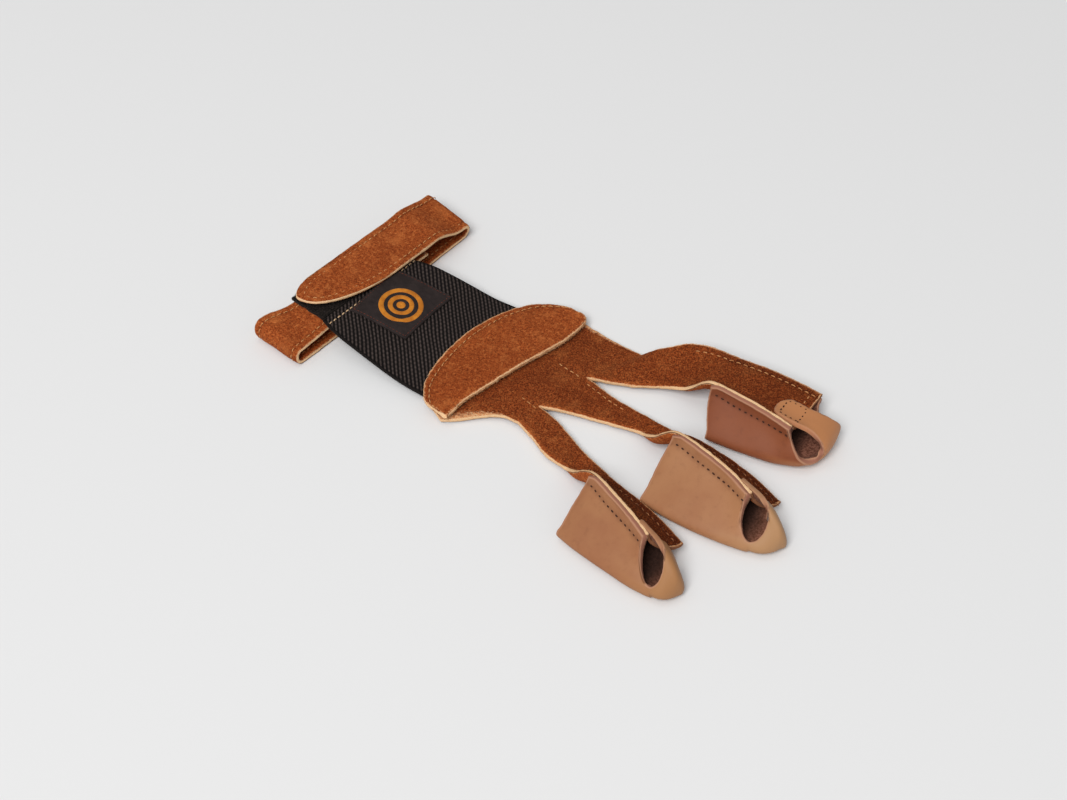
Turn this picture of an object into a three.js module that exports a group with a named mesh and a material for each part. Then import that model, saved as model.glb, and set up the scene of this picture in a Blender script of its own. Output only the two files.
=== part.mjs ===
// A three-finger archery glove for the right hand, lying with the back of the hand up.
// Millimetres. +X runs from the wrist to the fingertips, +Y to the index finger, +Z up.
// Every piece is a sheet of even thickness round a middle surface, and layers that are
// sewn or pressed together keep a small clearance.

import * as THREE from 'three';
import { mergeVertices } from 'three/addons/utils/BufferGeometryUtils.js';

// Thickness of each sheet, and the clearance between two layers
const SUEDE = 1.6;
const STALL_LEATHER = 1.8;
const WEBBING = 1.4;
const LABEL_CLOTH = 0.9;
const TAPE = 1.3;
const CLEARANCE = 0.3;

// Wrist strap: one ribbon, wound once round the flattened wrist
const STRAP_WIDTH = 22;
const STRAP_SPAN = 93;
const STRAP_X = -86;
const STRAP_Y = 10.7;
const STRAP_TURN = 4.9;
const LOOP_HEIGHT = 5.2;
const FOLD_RADIUS = 2.5;
const FOLD_SWELL = 1.9;
const FOLD_SKEW = 0.8;
const BASE_END = 23;
const BASE_RAMP = 15;
const BASE_TAPER = 3;
const TAB_REACH = 27;
const TAB_RAMP = 17;
const TAB_ROUNDING = 11;
const TAB_SHIFT = 1.4;

// Hook and loop tapes under the tab, each with its middle along the strap
const LOOP_WIDTH = 17;
const LOOP_LENGTH = 47;
const LOOP_MIDDLE = -6;
const HOOK_WIDTH = 13;
const HOOK_LENGTH = 40;
const HOOK_MIDDLE = -2;

// Elastic back of the hand
const ELASTIC_LENGTH = 52;
const ELASTIC_WIDTH = 56;
const ELASTIC_Y = 4.3;
const ELASTIC_OVERLAP = 2.8;

// Label on the elastic
const LABEL_LENGTH = 26;
const LABEL_WIDTH = 27;
const LABEL_X = -65;
const LABEL_Y = 5.5;

// Knuckle plate with its three finger straps, and the crescent over it
const HAND_LENGTH = 80;
const HAND_WIDTH = 70;
const HAND_Y = 7;
const PLATE_REST = 1;
const PLATE_ARCH = 2.6;
const PATCH_LENGTH = 71;
const PATCH_DEPTH = 22;
const PATCH_X = -14;
const PATCH_INSET = 1.2;
const PATCH_SINK = 0.9;

// A table with named columns: one object for each row
function table(columns, rows) {
  return rows.map((row) => Object.fromEntries(columns.map((name, i) => [name, row[i]])));
}

// Knuckle plate outlines, as shares of HAND_LENGTH and HAND_WIDTH
const ringSide = table(['x', 'y'], [
  [-0.25, -0.505],
  [-0.19, -0.455],
  [-0.11, -0.365],
  [-0.04, -0.312],
  [0.04, -0.3],
]);
const indexSide = table(['x', 'y'], [
  [-0.1, 0.485],
  [-0.01, 0.462],
  [0.12, 0.445],
  [0.25, 0.457],
]);
const crotches = table(['x', 'y'], [
  [0.04, -0.3],
  [0.088, -0.157],
  [0.15, 0.15],
  [0.25, 0.457],
]);

// Sides of the elastic from the wrist to the knuckles, as shares of ELASTIC_LENGTH and
// ELASTIC_WIDTH: it flares out from the wrist seam
const elasticSides = table(['along', 'left', 'right'], [
  [0, -0.435, 0.36],
  [0.1, -0.465, 0.385],
  [0.25, -0.488, 0.42],
  [0.6, -0.498, 0.468],
  [1, -0.5, 0.5],
]);

// Crescent outline, as shares of PATCH_LENGTH (along) and PATCH_DEPTH (front and rear edge)
const crescent = table(['along', 'front', 'rear'], [
  [0, -0.16, -0.3],
  [0.015, -0.16, -0.58],
  [0.06, -0.15, -0.76],
  [0.14, -0.13, -0.91],
  [0.28, -0.06, -0.985],
  [0.45, 0.06, -0.98],
  [0.62, 0.2, -0.91],
  [0.76, 0.35, -0.79],
  [0.88, 0.43, -0.6],
  [0.95, 0.445, -0.36],
  [0.985, 0.41, -0.14],
  [1, 0.24, 0.05],
]);

// Finger straps between the plate and the stalls: left and right edge, as shares of
// HAND_LENGTH and HAND_WIDTH, with the height of each edge as a share of the stall's
const ringStrap = table(['leftX', 'leftY', 'leftZ', 'rightX', 'rightY', 'rightZ'], [
  [0.138, -0.336, 0.08, 0.175, -0.193, 0.12],
  [0.25, -0.393, 0.09, 0.269, -0.239, 0.13],
  [0.35, -0.414, 0.14, 0.363, -0.286, 0.14],
  [0.43, -0.44, 0.4, 0.44, -0.33, 0.18],
]);
const middleStrap = table(['leftX', 'leftY', 'leftZ', 'rightX', 'rightY', 'rightZ'], [
  [0.175, -0.1, 0.12, 0.213, 0.129, 0.14],
  [0.275, -0.064, 0.1, 0.3, 0.111, 0.13],
  [0.388, -0.029, 0.1, 0.413, 0.1, 0.14],
  [0.5, -0.01, 0.17, 0.53, 0.09, 0.17],
  [0.6, -0.05, 0.5, 0.63, 0.08, 0.22],
]);
const indexStrap = table(['leftX', 'leftY', 'leftZ', 'rightX', 'rightY', 'rightZ'], [
  [0.238, 0.207, 0.12, 0.3, 0.464, 0.35],
  [0.338, 0.257, 0.12, 0.35, 0.5, 0.5],
  [0.45, 0.321, 0.18, 0.425, 0.579, 0.58],
  [0.55, 0.329, 0.5, 0.513, 0.629, 0.58],
]);

// The stalls, each from its rear end at x and y, as shares of HAND_LENGTH and HAND_WIDTH.
// Sections along the finger: shares of the stall's length (along), its width (ridge,
// seam, side: how far across) and its height (ridgeUp, seamUp). The ridge is the seam on the
// ring finger's side, which stands up; seam is the other one; side is the bulge at the table.
const sectionColumns = ['along', 'ridge', 'ridgeUp', 'seam', 'seamUp', 'side'];
const fingers = [
  {
    name: 'ring',
    x: 0.565,
    y: -0.57,
    heading: -12,
    length: 32,
    width: 28,
    height: 17,
    heel: 2.3,
    toe: 10.2,
    reach: 11.6,
    ridgeLean: 88,
    seamLean: -22,
    tongueAcross: 0.42,
    tabWidth: 10,
    tabLength: 10,
    strap: ringStrap,
    plate: [0, 1],
    sections: table(sectionColumns, [
      [0, 0.045, 0.88, 0.48, 0.22, -0.5],
      [0.5, 0.04, 1, 0.475, 0.23, -0.485],
      [1, -0.06, 0.9, 0.45, 0.27, -0.42],
      [1.3, -0.1, 0.85, 0.43, 0.3, -0.37],
    ]),
  },
  {
    name: 'middle',
    x: 0.7175,
    y: -0.1043,
    heading: -5,
    length: 37,
    width: 34,
    height: 17,
    heel: 2.4,
    toe: 6,
    reach: 11,
    ridgeLean: 88,
    seamLean: -22,
    tongueAcross: 0.43,
    tabWidth: 11,
    tabLength: 11,
    strap: middleStrap,
    plate: [1, 2],
    sections: table(sectionColumns, [
      [0, 0.02, 0.87, 0.41, 0.22, -0.53],
      [0.5, 0.045, 1, 0.4, 0.24, -0.51],
      [1, -0.07, 0.9, 0.33, 0.29, -0.41],
      [1.3, -0.12, 0.85, 0.3, 0.3, -0.33],
    ]),
  },
  {
    name: 'index',
    x: 0.671,
    y: 0.4143,
    heading: 4,
    length: 34,
    width: 34,
    height: 16,
    heel: 5.5,
    toe: 6,
    reach: 11,
    ridgeLean: 105,
    seamLean: -8,
    tongueAcross: 0.45,
    tabWidth: 12.5,
    tabLength: 11,
    strap: indexStrap,
    plate: [2, 3],
    sections: table(sectionColumns, [
      [0, -0.235, 0.92, 0.47, 0.55, -0.54],
      [0.5, -0.215, 1, 0.49, 0.55, -0.52],
      [1, -0.29, 0.93, 0.44, 0.53, -0.45],
      [1.3, -0.31, 0.88, 0.4, 0.5, -0.33],
    ]),
  },
];

// The tongue's middle line between the sole and the strap: how far ahead of the stall's
// front, as a share of its reach, and how far from the sole to the strap, across and up
const tongueLine = table(['ahead', 'across', 'up'], [
  [0.98, -0.12, 0.08],
  [1.02, -0.06, 0.42],
  [0.8, 0.3, 0.82],
  [0.38, 0.78, 1.05],
]);

// Small number helpers
const lerp = (a, b, share) => a + (b - a) * share;
const clamp = (value) => Math.min(1, Math.max(0, value));
const smooth = (value) => clamp(value) ** 2 * (3 - 2 * clamp(value));
const shares = (count) => Array.from({ length: count + 1 }, (_, i) => i / count);
const radians = THREE.MathUtils.degToRad;
const spot = (x, y, z) => new THREE.Vector3(x, y, z);

// Reads a table between its rows, with a smooth curve through each column
function trend(rows, key, at) {
  let i = 0;
  while (i < rows.length - 2 && at > rows[i + 1][key]) i += 1;
  const before = rows[Math.max(0, i - 1)];
  const low = rows[i];
  const high = rows[i + 1];
  const after = rows[Math.min(rows.length - 1, i + 2)];
  const width = high[key] - low[key];
  const t = (at - low[key]) / width;
  const read = {};
  for (const name of Object.keys(low)) {
    const slopeLow = ((high[name] - before[name]) / (high[key] - before[key])) * width;
    const slopeHigh = ((after[name] - low[name]) / (after[key] - low[key])) * width;
    const rise = high[name] - low[name];
    const bend = slopeLow + slopeHigh - 2 * rise;
    read[name] = low[name] + t * (slopeLow + t * (rise - slopeLow - bend + t * bend));
  }
  return read;
}

// A point on a cubic curve from its four control points
function cubic(points, t) {
  const weights = [(1 - t) ** 3, 3 * t * (1 - t) ** 2, 3 * t * t * (1 - t), t ** 3];
  const sum = spot(0, 0, 0);
  points.forEach((point, i) => sum.addScaledVector(point, weights[i]));
  return sum;
}

// A smooth line through a list of points, read at equal steps of its own parameter
function lineThrough(points, count) {
  return new THREE.CatmullRomCurve3(points, false, 'centripetal').getPoints(count);
}

// Closes a sheet of even thickness round a middle surface given as grids of points.
// Grids that share an edge are joined along it.
function sheetSolid(grids, thickness) {
  const corners = [];
  for (const rows of grids) {
    for (let i = 0; i + 1 < rows.length; i += 1) {
      for (let j = 0; j + 1 < rows[i].length; j += 1) {
        const [a, b, c, d] = [rows[i][j], rows[i + 1][j], rows[i + 1][j + 1], rows[i][j + 1]];
        [a, b, c, a, c, d].forEach((corner) => corners.push(corner.x, corner.y, corner.z));
      }
    }
  }
  const loose = new THREE.BufferGeometry();
  loose.setAttribute('position', new THREE.Float32BufferAttribute(corners, 3));
  const surface = mergeVertices(loose, 1e-3);
  surface.computeVertexNormals();
  const place = surface.getAttribute('position');
  const normal = surface.getAttribute('normal');
  const upper = [];
  const lower = [];
  for (let i = 0; i < place.count; i += 1) {
    const middle = new THREE.Vector3().fromBufferAttribute(place, i);
    const out = new THREE.Vector3().fromBufferAttribute(normal, i);
    upper.push(...middle.clone().addScaledVector(out, thickness / 2).toArray());
    lower.push(...middle.addScaledVector(out, -thickness / 2).toArray());
  }
  const faces = surface.getIndex().array;
  const edges = new Set();
  for (let i = 0; i < faces.length; i += 3) {
    [0, 1, 2].forEach((k) => edges.add(`${faces[i + k]} ${faces[i + ((k + 1) % 3)]}`));
  }
  const under = place.count;
  const index = [];
  for (let i = 0; i < faces.length; i += 3) {
    const [a, b, c] = [faces[i], faces[i + 1], faces[i + 2]];
    index.push(a, b, c, a + under, c + under, b + under);
    for (const [from, to] of [[a, b], [b, c], [c, a]]) {
      if (!edges.has(`${to} ${from}`)) {
        index.push(to, from, from + under, to, from + under, to + under);
      }
    }
  }
  const solid = new THREE.BufferGeometry();
  solid.setAttribute('position', new THREE.Float32BufferAttribute([...upper, ...lower], 3));
  solid.setIndex(index);
  solid.computeVertexNormals();
  return solid;
}

// Heights of the layers at the wrist, at their middle surfaces
const tableLevel = SUEDE / 2;
const foldTop = tableLevel + 2 * FOLD_RADIUS;
const baseLevel = tableLevel + SUEDE + LOOP_HEIGHT;
const tapeLevel = baseLevel + SUEDE / 2 + CLEARANCE + TAPE / 2;
const hookLevel = tapeLevel + TAPE + CLEARANCE;
const tabLevel = hookLevel + TAPE / 2 + CLEARANCE + SUEDE / 2;
const foldCentre = STRAP_SPAN / 2 - FOLD_RADIUS - SUEDE / 2;

// The wrist pieces share one turned frame: across runs along the strap, along across its width
function wristSpot(along, across, height) {
  const turn = radians(STRAP_TURN);
  const x = STRAP_X + along * Math.cos(turn) + across * Math.sin(turn);
  const y = STRAP_Y - along * Math.sin(turn) + across * Math.cos(turn);
  return spot(x, y, height);
}

// The ribbon's route in its own upright plane, from the base's cut end to the tab's round end.
// Its folds are skewed, and the one towards the index finger bulges at its rear edge.
function strapRoute() {
  const route = [];
  const lay = (across, height, skew, swell, shift = 0, half = STRAP_WIDTH / 2) => {
    route.push({ across, height, skew, swell, shift, half });
  };
  const fold = (side, share) => {
    const angle = radians(side < 0 ? 90 + 180 * share : -90 + 180 * share);
    const out = FOLD_RADIUS * Math.cos(angle);
    const up = FOLD_RADIUS * (1 + Math.sin(angle));
    const bulge = side < 0 ? 0 : FOLD_SWELL * (up / FOLD_RADIUS);
    lay(side * foldCentre + out, tableLevel + up, side < 0 ? 0 : FOLD_SKEW, bulge);
  };
  for (const share of shares(10)) {
    const across = lerp(BASE_END, -foldCentre, share);
    const rise = smooth((across + foldCentre) / BASE_RAMP);
    const taper = (BASE_TAPER / 2) * rise;
    lay(across, lerp(foldTop, baseLevel, rise), 0, 0, taper, STRAP_WIDTH / 2 - taper);
  }
  for (const share of shares(6).slice(1)) fold(-1, share);
  for (const share of shares(6)) fold(1, share);
  for (const share of shares(18).slice(1)) {
    const across = lerp(foldCentre, -TAB_REACH, 1 - (1 - share) ** 1.35);
    const rise = smooth((foldCentre - across) / TAB_RAMP);
    const fade = 1 - smooth((foldCentre - across) / (1.3 * TAB_RAMP));
    const height = lerp(foldTop, tabLevel, rise);
    const skew = FOLD_SKEW * (1 - rise);
    lay(across, height, skew, 2 * FOLD_SWELL * fade, TAB_SHIFT * rise, tabHalfWidth(across));
  }
  return route;
}

// Half width of the ribbon: full, but round at the tab's end
function tabHalfWidth(across) {
  const left = Math.min(TAB_ROUNDING, Math.max(0, across + TAB_REACH));
  const share = 1 - left / TAB_ROUNDING;
  return (STRAP_WIDTH / 2) * lerp(0.3, 1, Math.sqrt(Math.max(0, 1 - share * share)));
}

function wristStrap() {
  const rows = strapRoute().map(({ across, height, skew, swell, shift, half }) => {
    return [-1, -0.5, 0, 1].map((side) => {
      const rear = lerp(0.3, 1, (1 - side) / 2);
      return wristSpot(side * half + shift, across - skew * side, height + swell * rear);
    });
  });
  return sheetSolid([rows], SUEDE);
}

// Rear edge of the elastic on the base, measured along from the strap's middle
const elasticRear = STRAP_WIDTH / 2 - ELASTIC_OVERLAP;
const tapeMiddle = elasticRear - CLEARANCE - LOOP_WIDTH / 2;

function tapeSolid(width, length, middle, level) {
  const rows = shares(6).map((share) => {
    const across = middle + lerp(-length / 2, length / 2, share);
    return [-0.5, 0, 0.5].map((side) => wristSpot(tapeMiddle + side * width, across, level));
  });
  return sheetSolid([rows], TAPE);
}

// Height of the knuckle plate's middle surface: low at its sides, arched between them
function plateLevel(y) {
  const share = (y - HAND_Y) / (HAND_WIDTH / 2);
  return PLATE_REST + PLATE_ARCH * (1 - smooth(Math.abs(share)));
}

const elasticStack = (SUEDE + WEBBING) / 2 + CLEARANCE;
const patchStack = SUEDE + WEBBING + 2 * CLEARANCE;

// Height of the elastic's middle surface, from the base of the wrist strap to the plate
function elasticLevel(x, y) {
  const wrist = baseLevel + elasticStack;
  const knuckle = plateLevel(y) + elasticStack;
  const start = wristSpot(STRAP_WIDTH / 2 + 1, y - STRAP_Y, 0).x;
  const end = PATCH_X - PATCH_DEPTH;
  return lerp(wrist, knuckle, smooth((x - start) / (end - start)));
}

function elasticSolid() {
  const rows = shares(16).map((along) => {
    const { left, right } = trend(elasticSides, 'along', along);
    return shares(8).map((side) => {
      const y = ELASTIC_Y + ELASTIC_WIDTH * lerp(left, right, side);
      const rear = wristSpot(elasticRear, y - STRAP_Y, 0).x;
      const x = rear + ELASTIC_LENGTH * along;
      return spot(x, y, elasticLevel(x, y));
    });
  });
  return sheetSolid([rows], WEBBING);
}

function labelSolid() {
  const lift = (WEBBING + LABEL_CLOTH) / 2 + CLEARANCE;
  const rows = shares(6).map((along) => shares(4).map((side) => {
    const x = LABEL_X + LABEL_LENGTH * (along - 0.5);
    const y = LABEL_Y + LABEL_WIDTH * (side - 0.5);
    return spot(x, y, elasticLevel(x, y) + lift);
  }));
  return sheetSolid([rows], LABEL_CLOTH);
}

// Crescent outline at a share of its length, moved in from its edges by an inset
function crescentSpan(along, inset) {
  const row = trend(crescent, 'along', along);
  const y = HAND_Y + (PATCH_LENGTH - 2 * inset) * (along - 0.5);
  return { y, front: PATCH_X + PATCH_DEPTH * row.front, rear: PATCH_X + PATCH_DEPTH * row.rear + inset };
}

function patchSolid() {
  const stops = [0, 0.015, 0.06, 0.14, 0.24, 0.34, 0.45, 0.55, 0.66, 0.76, 0.85, 0.92, 0.965, 0.985, 1];
  const rows = stops.map((along) => {
    const { y, front, rear } = crescentSpan(along, 0);
    return shares(5).map((share) => {
      const sink = PATCH_SINK * share ** 4;
      return spot(lerp(rear, front, share), y, plateLevel(y) + patchStack - sink);
    });
  });
  return sheetSolid([rows], SUEDE);
}

// A point of the hand from its shares
const handSpot = (row) => spot(HAND_LENGTH * row.x, HAND_Y + HAND_WIDTH * row.y, 0);

// The plate is a patch between four edges: rear arc, crotch line and both sides
function plateGrid(columnsPerStrap) {
  const sideRows = 8;
  const left = lineThrough(ringSide.map(handSpot), sideRows);
  const right = lineThrough(indexSide.map(handSpot), sideRows);
  const front = [];
  crotches.slice(1).forEach((row, i) => {
    shares(columnsPerStrap).slice(i === 0 ? 0 : 1).forEach((share) => {
      front.push(handSpot(crotches[i]).lerp(handSpot(row), share));
    });
  });
  const across = front.length - 1;
  const rear = front.map((_, j) => {
    const { y, rear: x } = crescentSpan(lerp(0.03, 0.97, j / across), PATCH_INSET);
    return spot(x, y, 0);
  });
  rear[0] = left[0];
  rear[across] = right[0];
  return left.map((leftEdge, i) => front.map((frontEdge, j) => {
    const s = i / sideRows;
    const t = j / across;
    const point = leftEdge.clone().multiplyScalar(1 - t);
    point.addScaledVector(right[i], t);
    point.addScaledVector(rear[j], 1 - s);
    point.addScaledVector(frontEdge, s);
    point.addScaledVector(rear[0], -(1 - s) * (1 - t));
    point.addScaledVector(rear[across], -(1 - s) * t);
    point.addScaledVector(front[0], -s * (1 - t));
    point.addScaledVector(front[across], -s * t);
    point.z = plateLevel(point.y);
    return point;
  }));
}

// A finger's own frame: along its heading, across it, up
function fingerSpot(finger, along, across, up) {
  const turn = radians(finger.heading);
  const x = along * Math.cos(turn) - across * Math.sin(turn);
  const y = along * Math.sin(turn) + across * Math.cos(turn);
  return spot(x, y, up).add(handSpot(finger));
}

// Both layers of a stall's cross-section at a share of its length. Each seam is a flange:
// strap and leather lie side by side to its edge, a layer's distance apart.
function stallSection(finger, along) {
  const row = trend(finger.sections, 'along', along);
  const at = (across, up) => fingerSpot(finger, finger.length * along, across, up);
  const apart = (SUEDE + STALL_LEATHER) / 4 + CLEARANCE / 2;
  const ridge = [finger.width * row.ridge, finger.height * row.ridgeUp];
  const seam = [finger.width * row.seam, finger.height * row.seamUp];
  const side = finger.width * row.side;
  const up = [Math.cos(radians(finger.ridgeLean)), Math.sin(radians(finger.ridgeLean))];
  const out = [Math.cos(radians(finger.seamLean)), Math.sin(radians(finger.seamLean))];
  const chord = Math.hypot(seam[0] - ridge[0], seam[1] - ridge[1]);
  const push = ([x, y], direction, length) => [x + direction[0] * length, y + direction[1] * length];
  const strapRidge = push(ridge, [up[1], -up[0]], apart);
  const strapSeam = push(seam, [-out[1], out[0]], apart);
  const skinRidge = push(ridge, [up[1], -up[0]], -apart);
  const skinSeam = push(seam, [-out[1], out[0]], -apart);
  const floor = STALL_LEATHER / 2;
  const keel = [lerp(side, seam[0], 0.45), floor];
  const bulge = (0.28 * skinRidge[0] + 0.72 * keel[0] - side) / 0.44;
  return {
    strap: [
      strapRidge,
      push(strapRidge, up, -0.3 * chord),
      push(strapSeam, out, -0.42 * chord),
      strapSeam,
    ].map((p) => at(...p)),
    flank: [
      skinRidge,
      push(skinRidge, up, -0.5 * finger.height),
      [keel[0] - bulge, floor],
      keel,
    ].map((p) => at(...p)),
    sole: [
      keel,
      [lerp(keel[0], skinSeam[0], 0.55), floor],
      push(skinSeam, out, -0.3 * (skinSeam[0] - keel[0])),
      skinSeam,
    ].map((p) => at(...p)),
  };
}

// The ribbon of one finger strap: from the plate, along the strap and over the stall
function strapGrid(finger, plate, columns) {
  const front = plate[plate.length - 1];
  const first = front.slice(finger.plate[0] * columns, finger.plate[1] * columns + 1);
  const [left, right] = [first[0], first[columns]];
  const straight = (a, b) => [a, a.clone().lerp(b, 1 / 3), a.clone().lerp(b, 2 / 3), b];
  const stations = [straight(left, right)];
  for (const row of finger.strap) {
    const a = spot(HAND_LENGTH * row.leftX, HAND_Y + HAND_WIDTH * row.leftY, finger.height * row.leftZ);
    const b = spot(HAND_LENGTH * row.rightX, HAND_Y + HAND_WIDTH * row.rightY, finger.height * row.rightZ);
    stations.push(straight(a, b));
  }
  for (const along of [0, 0.35, 0.7, 1.02]) stations.push(stallSection(finger, along).strap);
  const count = 3 * (stations.length - 1);
  const rails = [0, 1, 2, 3].map((k) => lineThrough(stations.map((station) => station[k]), count));
  const rows = shares(count).map((_, i) => {
    const control = rails.map((rail) => rail[i]);
    return shares(columns).map((share) => cubic(control, share));
  });
  rows[0] = first;
  return rows;
}

// The stall's leather: a trough under the finger, longer at its sole than at its seams, and
// a tongue folded up over the fingertip whose end lies on the strap
function stallGrids(finger) {
  const [flankSteps, soleSteps] = [9, 7];
  const [firstColumn, lastColumn] = [5, 12];
  const columns = flankSteps + soleSteps;
  const sectionPoint = (along, j) => {
    const section = stallSection(finger, along);
    if (j <= flankSteps) return cubic(section.flank, j / flankSteps);
    return cubic(section.sole, (j - flankSteps) / soleSteps);
  };
  const trough = shares(7).map((share) => shares(columns).map((_, j) => {
    const low = smooth(j / firstColumn) ** 2 * smooth((columns - j) / (columns - lastColumn));
    const along = share * finger.length + low * lerp(finger.heel, finger.toe, share);
    return sectionPoint(along / finger.length, j);
  }));
  const hem = trough[trough.length - 1].slice(firstColumn, lastColumn + 1);
  const width = hem.length - 1;
  const lift = (SUEDE + STALL_LEATHER) / 2 + 2 * CLEARANCE;
  const forward = fingerSpot(finger, 1, 0, 0).sub(fingerSpot(finger, 0, 0, 0));
  const onStrap = (along, offset) => {
    const section = stallSection(finger, along / finger.length).strap;
    const middle = finger.tongueAcross;
    const pace = cubic(section, middle + 0.05).distanceTo(cubic(section, middle - 0.05)) / 0.1;
    const t = middle + offset / pace;
    const tangent = cubic(section, t + 0.02).sub(cubic(section, t - 0.02)).normalize();
    return cubic(section, t).addScaledVector(forward.clone().cross(tangent), lift);
  };
  const sides = hem.map((_, j) => (2 * j) / width - 1);
  const tabRow = (along, span) => sides.map((side) => onStrap(along, (side * span) / 2));
  const rest = onStrap(finger.length, 0);
  const start = hem[0].clone().lerp(hem[width], 0.5);
  start.z = STALL_LEATHER / 2;
  const startAhead = start.clone().sub(rest).dot(forward);
  const between = tongueLine.map((row) => {
    const point = start.clone().addScaledVector(forward, -startAhead).lerp(rest, row.across);
    point.addScaledVector(forward, finger.reach * row.ahead);
    point.z = lerp(start.z, rest.z, row.up);
    return point;
  });
  const bendSteps = 12;
  const line = lineThrough([start, ...between, rest], bendSteps);
  const hemSpan = hem[width].clone().sub(hem[0]).length();
  const top = tabRow(finger.length, finger.tabWidth);
  const bend = line.slice(0, bendSteps).map((centre, i) => {
    const share = i / bendSteps;
    const span = lerp(hemSpan, finger.tabWidth, smooth(share / 0.4)) / finger.tabWidth;
    return hem.map((edge, j) => {
      const cup = edge.clone().sub(start).multiplyScalar(1 - 0.5 * share).add(centre);
      const lid = top[j].clone().sub(rest).multiplyScalar(span).add(centre);
      return cup.lerp(lid, smooth(share / 0.5));
    });
  });
  const tab = shares(5).map((share) => {
    const round = Math.sqrt(1 - 0.93 * clamp(2.2 * share - 1.2) ** 2);
    return tabRow(finger.length - share * finger.tabLength, finger.tabWidth * round);
  });
  const tongue = [...bend, ...tab];
  tongue[0] = hem;
  return [trough, tongue];
}

// Colours and finish of each material
function finish(color, roughness) {
  return new THREE.MeshStandardMaterial({ color, roughness, metalness: 0 });
}
const suede = finish(0x96481f, 0.95);
const tan = finish(0xb07850, 0.6);
const black = finish(0x1d1a1a, 0.85);
const labelBlack = finish(0x35323a, 0.7);

function piece(name, geometry, material) {
  const mesh = new THREE.Mesh(geometry, material);
  mesh.name = name;
  return mesh;
}

const COLUMNS = 6;
const plate = plateGrid(COLUMNS);
const panel = [plate, ...fingers.map((finger) => strapGrid(finger, plate, COLUMNS))];

const glove = new THREE.Group();
glove.add(piece('wrist_strap', wristStrap(), suede));
glove.add(piece('loop_tape', tapeSolid(LOOP_WIDTH, LOOP_LENGTH, LOOP_MIDDLE, tapeLevel), black));
glove.add(piece('hook_tape', tapeSolid(HOOK_WIDTH, HOOK_LENGTH, HOOK_MIDDLE, hookLevel), black));
glove.add(piece('elastic_band', elasticSolid(), black));
glove.add(piece('label', labelSolid(), labelBlack));
glove.add(piece('finger_panel', sheetSolid(panel, SUEDE), suede));
glove.add(piece('knuckle_patch', patchSolid(), suede));
for (const finger of fingers) {
  glove.add(piece(`${finger.name}_stall`, sheetSolid(stallGrids(finger), STALL_LEATHER), tan));
}

// The glove is centred over the origin, with its lowest point on the table
const bounds = new THREE.Box3().setFromObject(glove);
const centre = bounds.getCenter(new THREE.Vector3());
glove.position.set(-centre.x, -centre.y, -bounds.min.z);

export default glove;
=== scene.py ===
# An archery glove in suede, leather and elastic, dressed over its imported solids.
# Lengths are millimetres in the glove's own frame until a mesh is made. +X runs from the
# wrist to the fingertips, +Y to the index finger and +Z up.

import math

import bpy
import numpy as np
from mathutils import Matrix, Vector
from mathutils.kdtree import KDTree


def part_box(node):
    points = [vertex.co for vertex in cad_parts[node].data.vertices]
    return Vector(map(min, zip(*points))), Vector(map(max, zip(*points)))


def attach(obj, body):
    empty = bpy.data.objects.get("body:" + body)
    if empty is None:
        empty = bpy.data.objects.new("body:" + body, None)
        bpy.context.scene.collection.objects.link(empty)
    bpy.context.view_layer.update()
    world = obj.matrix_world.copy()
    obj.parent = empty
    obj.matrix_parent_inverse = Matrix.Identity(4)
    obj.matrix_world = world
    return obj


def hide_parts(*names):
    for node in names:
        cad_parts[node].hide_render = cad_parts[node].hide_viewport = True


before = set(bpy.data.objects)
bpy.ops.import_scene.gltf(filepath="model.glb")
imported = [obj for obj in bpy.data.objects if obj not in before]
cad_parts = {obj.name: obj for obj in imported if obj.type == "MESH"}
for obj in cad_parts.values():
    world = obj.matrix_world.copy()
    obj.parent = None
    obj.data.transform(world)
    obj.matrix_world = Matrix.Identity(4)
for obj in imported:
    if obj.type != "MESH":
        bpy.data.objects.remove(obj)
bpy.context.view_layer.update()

# Thickness of each sheet, and the clearance between the solids' layers
SUEDE = 1.6
LEATHER = 1.8
WEBBING = 1.4
LABEL_CLOTH = 0.9
TAPE = 1.3
CLEARANCE = 0.3

# Wrist strap
STRAP_WIDTH = 22
STRAP_SPAN = 93
STRAP_X = -86
STRAP_Y = 10.7
STRAP_TURN = 4.9
LOOP_HEIGHT = 5.2
FOLD_RADIUS = 2.5
FOLD_SWELL = 1.9
FOLD_SKEW = 0.8
FOLD_STRETCH = 1.5
LEFT_STRETCH = 0.6
BASE_SWELL = 1.1
UNDER_SHIFT = 1.4
BASE_END = 23
BASE_RAMP = 15
BASE_TAPER = 3
FOLD_FADE = 12
FRONT_SWELL = 0.3
TAB_REACH = 30.2
TAB_RAMP = 17
TAB_SHIFT = 1.4

# The tab's nose: its tip's place across the strap, how far back each corner is rounded, how
# round each is and how much closer the stations lie towards the tip
NOSE_TIP = 0.25
NOSE_REAR = 11.5
NOSE_FRONT = 36
NOSE_BLEND = 50
NOSE_ROUND = 0.985
NOSE_CROWDING = 1.35

# Hook and loop tapes
LOOP_WIDTH = 17
LOOP_LENGTH = 47
LOOP_MIDDLE = -6
HOOK_WIDTH = 13
HOOK_LENGTH = 40
HOOK_MIDDLE = -2

# Elastic and its label
ELASTIC_LENGTH = 52
ELASTIC_WIDTH = 56
ELASTIC_Y = 4.3
ELASTIC_OVERLAP = 2.8
LABEL_X = -65
LABEL_Y = 5.5
LABEL_REAR = (-75, -75.8)
LABEL_FRONT = (-51.4, -51)
LABEL_LEFT = (-10.8, -8.3)
LABEL_RIGHT = (16, 19)
TARGET_X = -62
TARGET_Y = 2.6

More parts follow.
